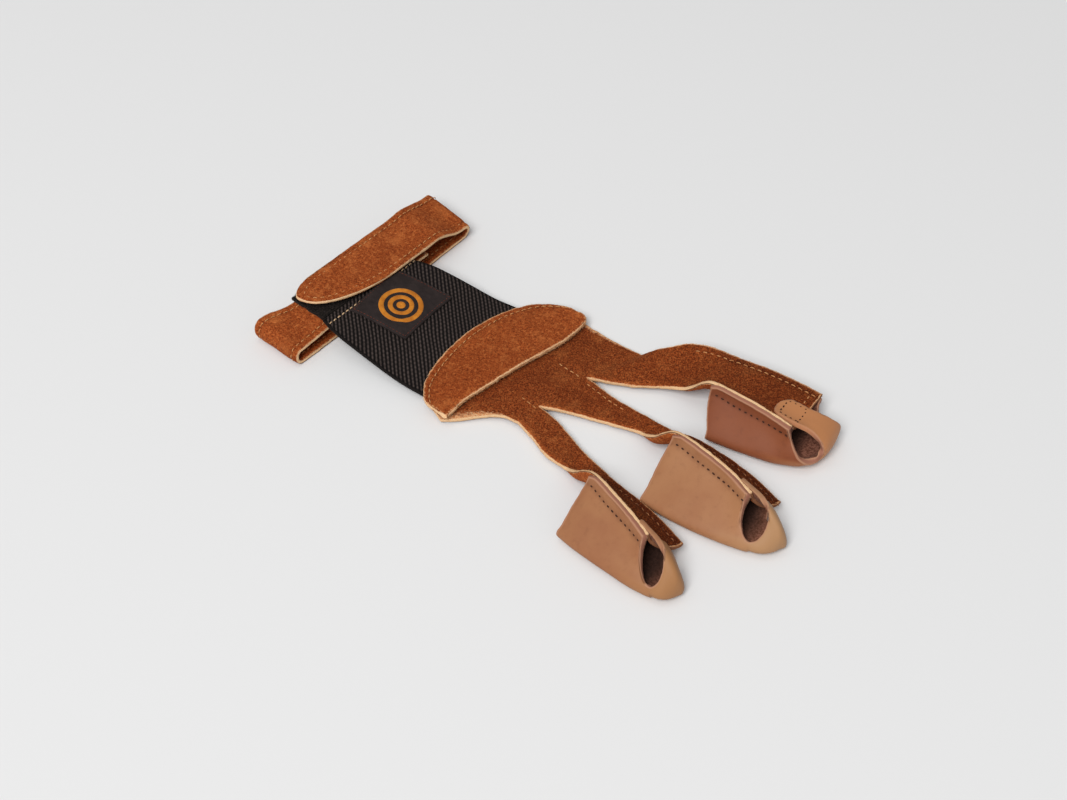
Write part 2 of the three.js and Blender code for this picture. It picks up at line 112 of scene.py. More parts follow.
# Knuckle plate, finger straps and crescent
HAND_LENGTH = 80
HAND_WIDTH = 70
HAND_Y = 7
PLATE_REST = 1
PLATE_ARCH = 2.6
PATCH_LENGTH = 71
PATCH_DEPTH = 22
PATCH_X = -14
PATCH_INSET = 1.2
PATCH_SINK = 0.9

# Camera: the photograph's direction in degrees, its distance in metres and lens in millimetres
VIEW_AZIMUTH = 36
VIEW_ELEVATION = 46
VIEW_DISTANCE = 0.7
VIEW_LENS = 66.1
SENSOR_WIDTH = 36


# Rows of values with named columns
def table(columns, rows):
    return [dict(zip(columns.split(), row)) for row in rows]


# Knuckle plate outlines, as shares of HAND_LENGTH and HAND_WIDTH
RING_SIDE = table("x y", [
    (-0.25, -0.505),
    (-0.19, -0.455),
    (-0.11, -0.365),
    (-0.04, -0.312),
    (0.04, -0.3),
])
INDEX_SIDE = table("x y", [
    (-0.1, 0.5),
    (-0.01, 0.485),
    (0.12, 0.475),
    (0.25, 0.478),
])
CROTCHES = table("x y", [
    (0.04, -0.3),
    (0.072, -0.157),
    (0.14, 0.15),
    (0.25, 0.478),
])

# Sides of the elastic, as shares of ELASTIC_LENGTH and ELASTIC_WIDTH
ELASTIC_SIDES = table("along left right", [
    (0, -0.435, 0.36),
    (0.1, -0.465, 0.385),
    (0.25, -0.488, 0.42),
    (0.6, -0.498, 0.468),
    (1, -0.5, 0.5),
])

# Crescent outline, as shares of PATCH_LENGTH (along) and PATCH_DEPTH (front and rear)
CRESCENT = table("along front rear", [
    (0, -0.16, -0.3),
    (0.015, -0.16, -0.58),
    (0.06, -0.15, -0.76),
    (0.14, -0.14, -0.91),
    (0.28, -0.01, -0.985),
    (0.45, 0.15, -0.98),
    (0.62, 0.29, -0.91),
    (0.76, 0.38, -0.79),
    (0.88, 0.4, -0.6),
    (0.95, 0.39, -0.36),
    (0.985, 0.34, -0.14),
    (1, 0.22, 0.05),
])
CRESCENT_STOPS = (
    0, 0.015, 0.06, 0.14, 0.24, 0.34, 0.45, 0.55, 0.66, 0.76, 0.85, 0.92, 0.965, 0.985, 1,
)

# Finger straps: both edges as shares of HAND_LENGTH, HAND_WIDTH and the stall's height
STRAP_EDGES = "left_x left_y left_z right_x right_y right_z"
RING_STRAP = table(STRAP_EDGES, [
    (0.138, -0.336, 0.08, 0.175, -0.175, 0.12),
    (0.25, -0.393, 0.09, 0.269, -0.219, 0.13),
    (0.35, -0.414, 0.14, 0.363, -0.266, 0.14),
    (0.43, -0.45, 0.4, 0.44, -0.3, 0.18),
])
MIDDLE_STRAP = table(STRAP_EDGES, [
    (0.175, -0.1, 0.12, 0.213, 0.143, 0.14),
    (0.275, -0.064, 0.1, 0.3, 0.125, 0.13),
    (0.388, -0.029, 0.1, 0.413, 0.114, 0.14),
    (0.5, -0.01, 0.17, 0.53, 0.104, 0.17),
    (0.6, -0.05, 0.5, 0.63, 0.09, 0.22),
])
INDEX_STRAP = table(STRAP_EDGES, [
    (0.238, 0.207, 0.12, 0.3, 0.478, 0.35),
    (0.338, 0.26, 0.12, 0.35, 0.512, 0.5),
    (0.45, 0.328, 0.18, 0.425, 0.589, 0.58),
    (0.55, 0.342, 0.42, 0.513, 0.637, 0.58),
])

# Stall sections: shares of the stall's length (along), width and height. curl is how far the
# strap's left margin stands up before the stall, flange how far its edge rises past the
# leather's rear corner (across, up), and ends where its cut end lies on the left and right.
# slant brings the tongue's top further forward on its right side. tab is the part of the strap
# that the tongue's end covers, and tab_point the part at its far end where it is a point.
SECTION_COLUMNS = "along ridge ridge_up seam seam_up side"
FINGERS = [
    dict(
        name="ring", x=0.565, y=-0.57, heading=-12, length=32, width=28, height=17,
        heel=2.3, toe=10.2, reach=11, rear=-0.4, ridge_lean=88, seam_lean=-22,
        tab=(-0.02, 0.58), tab_point=0.22, tab_length=6.5, slant=0.05, front=3, tuck=(0.6, 1.3),
        strap=RING_STRAP, plate=(0, 1), curl=5.5, flange=(2, 2.2), ends=(0.93, 1.1),
        overhang=1.6, hollow=1.5, longer=0, bulge=3.5, notch=5, droop=1.2, push=(0.8, 2.2),
        sections=table(SECTION_COLUMNS, [
            (0, 0.045, 0.88, 0.5, 0.22, -0.5),
            (0.5, 0.04, 1, 0.485, 0.23, -0.485),
            (1, -0.06, 0.9, 0.38, 0.24, -0.42),
            (1.3, -0.1, 0.85, 0.29, 0.22, -0.37),
        ]),
    ),
    dict(
        name="middle", x=0.7175, y=-0.1043, heading=-5, length=37, width=34, height=17,
        heel=2.4, toe=6, reach=10, rear=0, ridge_lean=88, seam_lean=-22,
        tab=(-0.02, 0.58), tab_point=0.22, tab_length=6.5, slant=0.05, front=2.8, tuck=(0.9, 1.1),
        strap=MIDDLE_STRAP, plate=(1, 2), curl=4.5, flange=(2, 2), ends=(0.94, 1.08),
        overhang=1.3, hollow=0.8, longer=0, bulge=3, notch=5, droop=1, push=(1, 2.8),
        sections=table(SECTION_COLUMNS, [
            (0, 0.02, 0.87, 0.41, 0.22, -0.53),
            (0.5, 0.045, 1, 0.4, 0.24, -0.51),
            (1, -0.07, 0.9, 0.29, 0.18, -0.41),
            (1.3, -0.12, 0.85, 0.18, 0.18, -0.35),
        ]),
    ),
    dict(
        name="index", x=0.671, y=0.4143, heading=4, length=34, width=34, height=16,
        heel=4.4, toe=4.4, reach=10.2, rear=1.3, ridge_lean=105, seam_lean=-8,
        tab=(0.2, 0.68), tab_point=0, tab_length=11, slant=0, front=1, tuck=(0, 1),
        strap=INDEX_STRAP, plate=(2, 3), curl=3, flange=(1.5, 1.5), ends=(0.98, 0.99),
        overhang=0.7, hollow=-3, longer=5.4, bulge=0, notch=3, droop=0.5, push=(0.3, 1.2),
        sections=table(SECTION_COLUMNS, [
            (0, -0.235, 0.92, 0.47, 0.55, -0.54),
            (0.5, -0.215, 1, 0.49, 0.55, -0.52),
            (1, -0.29, 0.93, 0.44, 0.53, -0.45),
            (1.3, -0.31, 0.88, 0.4, 0.5, -0.33),
        ]),
    ),
]

# How far the tab's end sinks into the nap of the strap under it
TAB_SINK = 0.9

# How far above the strap's left edge the leather's own edge lies, and how far beside it
RIDGE_RISE = 0.3
RIDGE_BESIDE = 1.3

# How far behind a stall its strap still counts, the share of the lift at its rear corner, and
# how many of the trough's columns it moves
RIDGE_BEHIND = 6
RIDGE_CORNER = 0.8
RIDGE_COLUMNS = 4.8

# The tongue's middle line: ahead of the stall, and from the sole to the strap
TONGUE_LINE = table("ahead across up", [
    (0.98, -0.12, 0.08),
    (1.02, -0.06, 0.42),
    (0.9, 0.28, 0.8),
    (0.46, 0.76, 1.05),
])

# The label's middle says where the glove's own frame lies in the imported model
label_low, label_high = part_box("label")
SHIFT = np.array([
    500 * (label_low.x + label_high.x) - LABEL_X,
    500 * (label_low.y + label_high.y) - LABEL_Y,
    0.0,
])


# Small helpers for numbers and points
def lerp(a, b, share):
    return a + (b - a) * share


def clamp(value):
    return np.clip(value, 0, 1)


def smooth(value):
    share = clamp(value)
    return share * share * (3 - 2 * share)


def shares(count):
    return np.linspace(0, 1, count + 1)


def unit(vectors):
    return vectors / np.maximum(np.linalg.norm(vectors, axis=-1, keepdims=True), 1e-9)


def spot(x, y, z):
    return np.stack(np.broadcast_arrays(x, y, z), -1).astype(float)


def turned(grid):
    return np.swapaxes(grid, 0, 1)


# Points or directions read at some places along a line, from those at its own places
def read_along(at, places, values):
    return np.stack([np.interp(at, places, values[:, k]) for k in range(3)], -1)


# A smooth random height between about -1 and 1, the same in every run
def ripple(points, size, seed):
    rng = np.random.default_rng(seed)
    total = np.zeros(points.shape[:-1])
    for _ in range(9):
        heading = unit(rng.normal(size=3))
        pace = 2 * math.pi / size * rng.uniform(0.6, 1.6)
        total += np.sin(points @ heading * pace + rng.uniform(0, 6.3))
    return total / 4


# Wrinkles in a sheet, from waves of a height, a size and a random seed
def wrinkles(points, *waves):
    return sum(height * ripple(points, size, seed) for height, size, seed in waves)


# Reads a table between its rows, with a smooth curve through each column
def trend(rows, key, at):
    keys = np.array([row[key] for row in rows], float)
    at = np.asarray(at, float)
    low = np.searchsorted(keys[1:-1], at)
    high = low + 1
    before = np.maximum(0, low - 1)
    after = np.minimum(len(rows) - 1, low + 2)
    width = keys[high] - keys[low]
    t = (at - keys[low]) / width
    read = {}
    for name in rows[0]:
        column = np.array([row[name] for row in rows], float)
        slope_low = (column[high] - column[before]) / (keys[high] - keys[before]) * width
        slope_high = (column[after] - column[low]) / (keys[after] - keys[low]) * width
        rise = column[high] - column[low]
        bend = slope_low + slope_high - 2 * rise
        read[name] = column[low] + t * (slope_low + t * (rise - slope_low - bend + t * bend))
    return read


# Points on a cubic curve from its four control points
def cubic(points, t):
    t = np.asarray(t, float)[..., None]
    a, b, c, d = points
    return a * (1 - t) ** 3 + b * 3 * t * (1 - t) ** 2 + c * 3 * t * t * (1 - t) + d * t ** 3


# A centripetal Catmull-Rom line through points, read at equal steps of its parameter
def line_through(points, count):
    points = np.asarray(points, float)
    padded = np.vstack([2 * points[0] - points[1], points, 2 * points[-1] - points[-2]])
    gaps = np.sqrt(np.linalg.norm(np.diff(padded, axis=0), axis=1))
    place = shares(count) * (len(points) - 1)
    i = np.minimum(place.astype(int), len(points) - 2)
    t = (place - i)[:, None]
    p0, p1, p2, p3 = (padded[i + k] for k in range(4))
    d0, d1, d2 = (np.maximum(gaps[i + k], 1e-6)[:, None] for k in range(3))
    start = ((p1 - p0) / d0 - (p2 - p0) / (d0 + d1) + (p2 - p1) / d1) * d1
    end = ((p2 - p1) / d1 - (p3 - p1) / (d1 + d2) + (p3 - p2) / d2) * d1
    rise = p2 - p1
    return p1 + t * (start + t * (3 * rise - 2 * start - end + t * (start + end - 2 * rise)))


# Steps of each sheet's grid, enough for its curves and, on the elastic, its ribs
TAPE_ROWS = 18
TAPE_COLUMNS = 48
ELASTIC_ROWS = 196
ELASTIC_COLUMNS = 208
LABEL_STEPS = 40
PATCH_ROWS = 40
PATCH_FINE = 6
PLATE_ROWS = 44
STRAP_COLUMNS = 22
STRAP_FINE = 9

# Levels of the layers at the wrist, at their middle surfaces
TABLE_LEVEL = SUEDE / 2
FOLD_TOP = TABLE_LEVEL + 2 * FOLD_RADIUS
BASE_LEVEL = TABLE_LEVEL + SUEDE + LOOP_HEIGHT
LOOP_LEVEL = BASE_LEVEL + SUEDE / 2 + CLEARANCE + TAPE / 2
HOOK_LEVEL = LOOP_LEVEL + TAPE + CLEARANCE
TAB_LEVEL = HOOK_LEVEL + TAPE / 2 + CLEARANCE + SUEDE / 2
FOLD_CENTRE = STRAP_SPAN / 2 - FOLD_RADIUS - SUEDE / 2
ELASTIC_REAR = STRAP_WIDTH / 2 - ELASTIC_OVERLAP
TAPE_ALONG = ELASTIC_REAR - CLEARANCE - LOOP_WIDTH / 2


def wrist_spot(along, across, height):
    turn = math.radians(STRAP_TURN)
    x = STRAP_X + along * math.cos(turn) + across * math.sin(turn)
    y = STRAP_Y - along * math.sin(turn) + across * math.cos(turn)
    return spot(x, y, height)


# The ribbon's route, from the base's cut end round both folds to the tab's round end
def strap_route():
    route = []
    fine = 3

    def lay(across, height, skew, swell, shift=0.0, half=STRAP_WIDTH / 2, nose=0.0):
        route.append((across, height, skew, swell, shift, half, nose))

    def fold(side, share):
        angle = math.radians((90 if side < 0 else -90) + 180 * share)
        rise = FOLD_RADIUS * (1 + math.sin(angle))
        across = side * FOLD_CENTRE + FOLD_RADIUS * math.cos(angle)
        bulge = (BASE_SWELL if side < 0 else FOLD_SWELL) * rise / FOLD_RADIUS
        across += -LEFT_STRETCH if side < 0 else FOLD_STRETCH
        lay(
            across, TABLE_LEVEL + rise, 0 if side < 0 else FOLD_SKEW, bulge,
            0 if side < 0 else -UNDER_SHIFT * (1 - rise / (2 * FOLD_RADIUS)),
        )

    for share in shares(10 * fine):
        across = lerp(BASE_END, -FOLD_CENTRE, share)
        rise = smooth((across + FOLD_CENTRE) / BASE_RAMP)
        taper = BASE_TAPER / 2 * rise
        across = across - LEFT_STRETCH * (1 - smooth((across + FOLD_CENTRE) / FOLD_FADE))
        swell = 2 * BASE_SWELL * (1 - smooth((across + FOLD_CENTRE) / FOLD_FADE))
        lay(across, lerp(FOLD_TOP, BASE_LEVEL, rise), 0, swell, taper, STRAP_WIDTH / 2 - taper)
    for share in shares(6 * fine)[1:]:
        fold(-1, share)
    for across in np.linspace(-FOLD_CENTRE, FOLD_CENTRE, 16 * fine)[1:-1]:
        share = smooth(across / FOLD_CENTRE)
        out = FOLD_STRETCH * share - LEFT_STRETCH * smooth(-across / FOLD_CENTRE)
        lay(across + out, TABLE_LEVEL, FOLD_SKEW * share, 0, -UNDER_SHIFT * share)
    for share in shares(6 * fine):
        fold(1, share)
    for share in shares(18 * fine)[1:]:
        across = lerp(FOLD_CENTRE + FOLD_STRETCH, -TAB_REACH, 1 - (1 - share) ** NOSE_CROWDING)
        rise = smooth((FOLD_CENTRE - across) / TAB_RAMP)
        fade = 1 - smooth((FOLD_CENTRE - across) / (1.3 * TAB_RAMP))
        nose = 1 - smooth((across + TAB_REACH) / NOSE_BLEND)
        lay(
            across, lerp(FOLD_TOP, TAB_LEVEL, rise), FOLD_SKEW * (1 - rise),
            2 * FOLD_SWELL * fade, TAB_SHIFT * rise, STRAP_WIDTH / 2, nose,
        )
    return np.array(route)[:, :, None]


# Places across the ribbon from its rear edge (side -1) to its front one (1), closest near both
def across_sides(count):
    return np.sin(np.linspace(-1, 1, count) * math.pi / 2)[None, :]


# How far behind the tab's tip its outline lies at each side
def nose_depth(side):
    share = (side + 1) / 2
    front = clamp((share - NOSE_TIP) / (1 - NOSE_TIP))
    rear = clamp((NOSE_TIP - share) / NOSE_TIP)
    bend = [1 - np.sqrt(1 - NOSE_ROUND * part ** 2) for part in (front, rear)]
    return NOSE_FRONT * bend[0] + NOSE_REAR * bend[1]


# Points across the ribbon at each station of its route, all inset from the cut edge
def strap_spots(side, inset):
    across, height, skew, swell, shift, half, nose = np.moveaxis(strap_route(), 1, 0)
    rear = lerp(FRONT_SWELL, 1, (1 - side) / 2)
    return wrist_spot(
        side * (half - inset) + shift,
        across - skew * side + nose * (nose_depth(side) + inset),
        height + swell * rear,
    )


def tape_grid(width, length, middle, level):
    along = np.linspace(-0.5, 0.5, TAPE_ROWS)[:, None] * width + TAPE_ALONG
    across = np.linspace(-0.5, 0.5, TAPE_COLUMNS)[None, :] * length + middle
    return wrist_spot(along, across, level)


def plate_level(y):
    share = (y - HAND_Y) / (HAND_WIDTH / 2)
    return PLATE_REST + PLATE_ARCH * (1 - smooth(np.abs(share)))


def elastic_level(x, y):
    stack = (SUEDE + WEBBING) / 2 + CLEARANCE
    start = wrist_spot(STRAP_WIDTH / 2 + 1, y - STRAP_Y, 0)[..., 0]
    share = smooth((x - start) / (PATCH_X - PATCH_DEPTH - start))
    return lerp(BASE_LEVEL + stack, plate_level(y) + stack, share)


def elastic_grid():
    along, beside = shares(ELASTIC_ROWS)[:, None], shares(ELASTIC_COLUMNS)[None, :]
    edges = trend(ELASTIC_SIDES, "along", along)
    y = ELASTIC_Y + ELASTIC_WIDTH * lerp(edges["left"], edges["right"], beside)
    x = wrist_spot(ELASTIC_REAR, y - STRAP_Y, 0)[..., 0] + ELASTIC_LENGTH * along
    return spot(x, y, elastic_level(x, y))


def label_grid():
    ahead, beside = shares(LABEL_STEPS)[:, None], shares(LABEL_STEPS)[None, :]
    x = lerp(lerp(*LABEL_REAR, beside), lerp(*LABEL_FRONT, beside), ahead)
    y = lerp(lerp(*LABEL_LEFT, ahead), lerp(*LABEL_RIGHT, ahead), beside)
    return spot(x, y, elastic_level(x, y) + (WEBBING + LABEL_CLOTH) / 2 + CLEARANCE / 3)


def crescent_span(along, inset):
    row = trend(CRESCENT, "along", along)
    y = HAND_Y + (PATCH_LENGTH - 2 * inset) * (along - 0.5)
    return y, PATCH_X + PATCH_DEPTH * row["front"], PATCH_X + PATCH_DEPTH * row["rear"] + inset


def patch_grid():
    last = len(CRESCENT_STOPS) - 1
    along = np.interp(shares(PATCH_FINE * last) * last, range(last + 1), CRESCENT_STOPS)
    y, front, rear = (part[None, :] for part in crescent_span(along, 0))
    share = shares(PATCH_ROWS)[:, None]
    stack = SUEDE + WEBBING + 2 * CLEARANCE
    x = lerp(rear, front, share)
    return spot(x, y, plate_level(y) + stack - PATCH_SINK * share ** 4)


def hand_spots(rows):
    return spot(
        HAND_LENGTH * np.array([row["x"] for row in rows]),
        HAND_Y + HAND_WIDTH * np.array([row["y"] for row in rows]),
        0,
    )


# The plate is a patch between four edges: rear arc, crotch line and both sides
def plate_grid(rows, per_strap):
    left = line_through(hand_spots(RING_SIDE), rows)
    right = line_through(hand_spots(INDEX_SIDE), rows)
    corners = hand_spots(CROTCHES)
    place = np.linspace(0, 3, 3 * per_strap + 1)
    front = read_along(place, range(4), corners)
    t = shares(len(front) - 1)
    y, _, x = crescent_span(lerp(0.03, 0.97, t), PATCH_INSET)
    rear = spot(x, y, 0)
    rear[0], rear[-1] = left[0], right[0]
    s, t = shares(rows)[:, None, None], t[None, :, None]
    grid = left[:, None] * (1 - t) + right[:, None] * t + rear[None] * (1 - s) + front[None] * s
    grid -= (1 - s) * ((1 - t) * rear[0] + t * rear[-1]) + s * ((1 - t) * front[0] + t * front[-1])
    grid[..., 2] = plate_level(grid[..., 1])
    return grid


# A finger's own frame: along its heading, across it, up
def finger_spot(finger, along, across, up):
    turn = math.radians(finger["heading"])
    x = HAND_LENGTH * finger["x"] + along * math.cos(turn) - across * math.sin(turn)
    y = HAND_Y + HAND_WIDTH * finger["y"] + along * math.sin(turn) + across * math.cos(turn)
    return spot(x, y, up)


# A step in a finger's own frame
def finger_step(finger, along, across=0):
    return finger_spot(finger, along, across, 0) - finger_spot(finger, 0, 0, 0)


# Control points of a stall's cross-section: the strap over it, and the leather's flank and sole.
# A curve's two inner points lie along its end directions, by shares of its chord or height.
def stall_section(finger, along):
    along = np.asarray(along, float)
    row = trend(finger["sections"], "along", along)
    lean_up = math.radians(finger["ridge_lean"])
    lean_out = math.radians(finger["seam_lean"])
    up = np.array([math.cos(lean_up), math.sin(lean_up)])
    out = np.array([math.cos(lean_out), math.sin(lean_out)])
    apart = (SUEDE + LEATHER) / 4 + CLEARANCE / 2
    ridge = np.stack([finger["width"] * row["ridge"], finger["height"] * row["ridge_up"]], -1)
    seam = np.stack([finger["width"] * row["seam"], finger["height"] * row["seam_up"]], -1)
    side = finger["width"] * row["side"]
    chord = np.linalg.norm(seam - ridge, axis=-1)[..., None]
    ridge_step = apart * np.array([up[1], -up[0]])
    seam_step = apart * np.array([-out[1], out[0]])
    floor = np.full_like(side, LEATHER / 2)
    keel = np.stack([lerp(side, seam[..., 0], 0.45), floor], -1)
    skin_ridge = ridge - ridge_step
    skin_seam = seam - seam_step
    bulge = (0.28 * skin_ridge[..., 0] + 0.72 * keel[..., 0] - side) / 0.44
    reach = (skin_seam[..., 0] - keel[..., 0])[..., None]
    curves = {
        "strap": (
            ridge + ridge_step,
            ridge + ridge_step - up * 0.3 * chord,
            seam + seam_step - out * 0.42 * chord,
            seam + seam_step,
        ),
        "flank": (
            skin_ridge,
            skin_ridge - up * 0.5 * finger["height"],
            np.stack([keel[..., 0] - bulge, floor], -1),
            keel,
        ),
        "sole": (
            keel,
            np.stack([lerp(keel[..., 0], skin_seam[..., 0], 0.55), floor], -1),
            skin_seam - out * 0.3 * reach,
            skin_seam,
        ),
    }
    placed = {}
    for name, points in curves.items():
        placed[name] = [
            finger_spot(finger, finger["length"] * along, p[..., 0], p[..., 1]) for p in points
        ]
    return placed


# The ribbon of one finger strap: from the plate, along the strap and over the stall
def strap_grid(finger, plate):
    start, end = finger["plate"]
    first = plate[-1][start * STRAP_COLUMNS:end * STRAP_COLUMNS + 1]
    pairs = [(first[0], first[-1])]
    for row in finger["strap"]:
        pairs.append(tuple(
            spot(
                HAND_LENGTH * row[side + "_x"],
                HAND_Y + HAND_WIDTH * row[side + "_y"],
                finger["height"] * row[side + "_z"],
            )
            for side in ("left", "right")
        ))
    stations = [[a, lerp(a, b, 1 / 3), lerp(a, b, 2 / 3), b] for a, b in pairs]
    left, right = pairs[-1]
    drop = spot(0, 0, finger["curl"])
    stations[-1] = [
        left, lerp(left, right, 0.08) - 1.3 * drop, lerp(left, right, 0.6) - 0.3 * drop, right,
    ]
    for along, rise in ((0, 1), (0.35, 0.25), (0.7, 0)):
        section = list(stall_section(finger, along)["strap"])
        section[0] = section[0] + spot(0, *finger["flange"]) * rise
        section[3] = section[3] + spot(0, finger["overhang"], 0) * along ** 2.5
        stations.append(section)
    ends = [stall_section(finger, along)["strap"] for along in finger["ends"]]
    stations.append([lerp(ends[0][k], ends[1][k], k / 3) for k in range(4)])
    stations[-1][3] = stations[-1][3] + spot(0, finger["overhang"], 0)
    stations[-1][2] = stations[-1][2] + spot(finger["bulge"], 0, 0)
    count = STRAP_FINE * (len(stations) - 1)
    rails = [line_through([station[k] for station in stations], count) for k in range(4)]
    grid = cubic([rail[:, None] for rail in rails], shares(STRAP_COLUMNS)[None, :])
    grid[0] = first
    return grid


# The stall's leather is a trough under the finger and a tongue folded up over the fingertip. The
# trough's columns run from the ridge seam down the flank to the keel and on to the other seam,
# and the tongue grows from some of them. Every row and column is divided FINE times.
FINE = 4
TROUGH_ROWS = 9
TROUGH_COLUMNS = 16
KEEL_COLUMN = 9
TONGUE_FIRST = 5
TONGUE_LAST = 12
TONGUE_ROWS = 12
TAB_ROWS = 6

# Where the open end is hollowed and longer, and where the rear end is moved: a column and how
# many columns it takes to fade
HOLLOW_COLUMN, HOLLOW_WIDTH = 3.7, 1.3
LONGER_COLUMN, LONGER_WIDTH = 4, 3
REAR_COLUMN, REAR_WIDTH = 7, 4


def stall_grids(finger):
    column = np.linspace(0, TROUGH_COLUMNS, TROUGH_COLUMNS * FINE + 1)[None, :]
    share = shares(TROUGH_ROWS * FINE)[:, None]
    low = smooth((column - 1.2 * share) / (TONGUE_FIRST - 1.2 * share)) ** 2
    low = low * smooth((TROUGH_COLUMNS - column) / (TROUGH_COLUMNS + 2 - TONGUE_LAST))
    dip = np.exp(-(((column - HOLLOW_COLUMN) / HOLLOW_WIDTH) ** 2))
    hollow = finger["hollow"] * dip * share ** 6
    along = share * finger["length"] + low * lerp(finger["heel"], finger["toe"], share) - hollow
    longer = 1 - smooth((column - LONGER_COLUMN) / LONGER_WIDTH)
    rear = 1 - smooth((column - REAR_COLUMN) / REAR_WIDTH)
    along = along + finger["longer"] * share ** 4 * longer
    along = along + finger["rear"] * (1 - share) ** 3 * rear
    section = stall_section(finger, along / finger["length"])
    flank = cubic(section["flank"], clamp(column / KEEL_COLUMN) + 0 * share)
    past_keel = clamp((column - KEEL_COLUMN) / (TROUGH_COLUMNS - KEEL_COLUMN))
    sole = cubic(section["sole"], past_keel + 0 * share)
    trough = np.where(column[..., None] <= KEEL_COLUMN, flank, sole)
    hem = trough[-1, TONGUE_FIRST * FINE:TONGUE_LAST * FINE + 1]
    return trough, tongue_grid(finger, hem)


# The tongue: share runs from 0 at the sole to 1 on the strap, side from -1 on the left to 1. Each
# part of its shape comes in and fades out between two shares.
def tongue_grid(finger, hem):
    lift = (SUEDE + LEATHER) / 2 + CLEARANCE / 2
    length = finger["length"]
    forward = finger_step(finger, 1)
    side = np.linspace(-1, 1, len(hem))
    on_left, on_right = clamp(-side)[None, :, None], clamp(side)[None, :, None]

    def on_strap(along, t, height):
        section = stall_section(finger, along / length)["strap"]
        tangent = unit(cubic(section, t + 0.02) - cubic(section, t - 0.02))
        return cubic(section, t) + height * np.cross(forward, tangent)

    # The tab's rows: back is how far behind the fingertip, from 0 to 1
    def tab_row(back):
        low, high = finger["tab"]
        narrow = math.sqrt(1 - 0.97 * clamp(2.2 * back - 1.2) ** 2)
        if finger["tab_point"]:
            high = lerp(high, low + finger["tab_point"], back)
            narrow = math.sqrt(1 - 0.9 * clamp(4 * back - 3) ** 2)
        ts = (low + high) / 2 + (high - low) / 2 * narrow * side
        alongs = length * (1 + finger["slant"] * side) - back * finger["tab_length"]
        height = lift - TAB_SINK * back
        return np.array([on_strap(along, t, height) for along, t in zip(alongs, ts)])

    top = tab_row(0)
    rest = top[len(top) // 2]
    start = (hem[0] + hem[-1]) / 2
    start[2] = LEATHER / 2
    behind = (start - rest) @ forward
    points = [start]
    for row in TONGUE_LINE:
        point = lerp(start - behind * forward, rest, row["across"])
        point = point + forward * finger["reach"] * row["ahead"]
        point[2] = lerp(start[2], rest[2], row["up"])
        points.append(point)
    steps = TONGUE_ROWS * FINE
    line = line_through([*points, rest], steps)[:-1]
    share = (np.arange(steps) / steps)[:, None, None]
    width = np.linalg.norm(top[-1] - top[0])
    right_side = (side > 0)[None, :, None]
    narrowing = np.where(right_side, smooth((share - 0.4) / 0.5), smooth(share / 0.4))
    span = lerp(np.linalg.norm(hem[-1] - hem[0]), width, narrowing) / width
    cup = (hem - start)[None] * (1 - 0.5 * share) + line[:, None]
    lid = (top - rest)[None] * span + line[:, None]
    bend = lerp(cup, lid, smooth(share / 0.5))
    round_front = (1 - np.abs(side) ** 2.2)[None, :, None] * finger["front"]
    bend = bend + forward * round_front * smooth(share / 0.16) * (1 - smooth((share - 0.5) / 0.5))
    tuck = on_right ** 2 * smooth(share / 0.1) * (1 - smooth((share - 0.6) / 0.4))
    bend = bend - tuck * spot(*finger["tuck"], 0)
    middle, left = finger["push"]
    hump = smooth(share / 0.15) * (1 - smooth((share - 0.3) / 0.4))
    bend = bend + spot(0, 1, 0) * hump * (middle + left * on_left)
    droop = on_right * smooth((share - 0.3) / 0.3) * (1 - smooth((share - 0.8) / 0.2))
    bend = bend - droop * spot(0, 0, finger["droop"])
    bend[0] = hem
    return np.concatenate([bend, np.array([tab_row(back) for back in shares(TAB_ROWS * FINE)])])


# Joins grids of points along the edges they share. Returns the points, the faces, each
# point's normal and, for every grid point, its place in the list.
def weld(grids):
    loose = np.concatenate([grid.reshape(-1, 3) for grid in grids])
    _, first, place = np.unique(
        np.round(loose, 3), axis=0, return_index=True, return_inverse=True
    )
    place = place.reshape(-1)
    points = loose[first]
    faces = []
    start = 0
    for grid in grids:
        index = start + np.arange(grid.shape[0] * grid.shape[1]).reshape(grid.shape[:2])
        corners = [index[:-1, :-1], index[1:, :-1], index[1:, 1:], index[:-1, 1:]]
        faces.append(np.stack(corners, -1).reshape(-1, 4))
        start += index.size
    faces = place[np.concatenate(faces)]
    a, b, c, d = (points[faces[:, k]] for k in range(4))
    face_normals = np.cross(c - a, d - b)
    normals = np.zeros_like(points)
    for k in range(4):
        np.add.at(normals, faces[:, k], face_normals)
    return points, faces, unit(normals), place, unit(face_normals)


# The normal at each point of each grid, the same where grids meet
def grid_normals(grids):
    _, _, normals, place, _ = weld(grids)
    parts = np.split(normals[place], np.cumsum([g.shape[0] * g.shape[1] for g in grids])[:-1])
    return [part.reshape(grid.shape) for part, grid in zip(parts, grids)]


# A new piece of the glove, from millimetres in the glove's frame. mask is one colour a point.
def make_piece(name, points, faces, material, mask=None):
    mesh = bpy.data.meshes.new(name)
    mesh.from_pydata(((points + SHIFT) / 1000).tolist(), [], [list(f) for f in faces])
    if mask is not None:
        layer = mesh.color_attributes.new("mask", "FLOAT_COLOR", "POINT")
        colours = np.concatenate([mask, np.ones((len(mask), 1))], axis=1)
        layer.data.foreach_set("color", colours.astype(np.float32).ravel())
    mesh.materials.append(material)
    mesh.shade_smooth()
    piece = bpy.data.objects.new(name, mesh)
    bpy.context.scene.collection.objects.link(piece)
    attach(piece, "root")
    return piece


# How far each point is from the nearest of some others
def distance_to(points, others):
    tree = KDTree(len(others))
    for index, point in enumerate(others):
        tree.insert(point, index)
    tree.balance()
    return np.array([tree.find(point)[2] for point in points])


# A closed sheet with a rounded rim round a middle surface. relief raises the outer face and
# under_relief the inner one. It thins to the share edge over the last SHOULDER mm. The mask's
# channels are nearness to the rim, the way from the outer to the inner face, and marks.
SHOULDER = 1.4
RIM_STEPS = 6


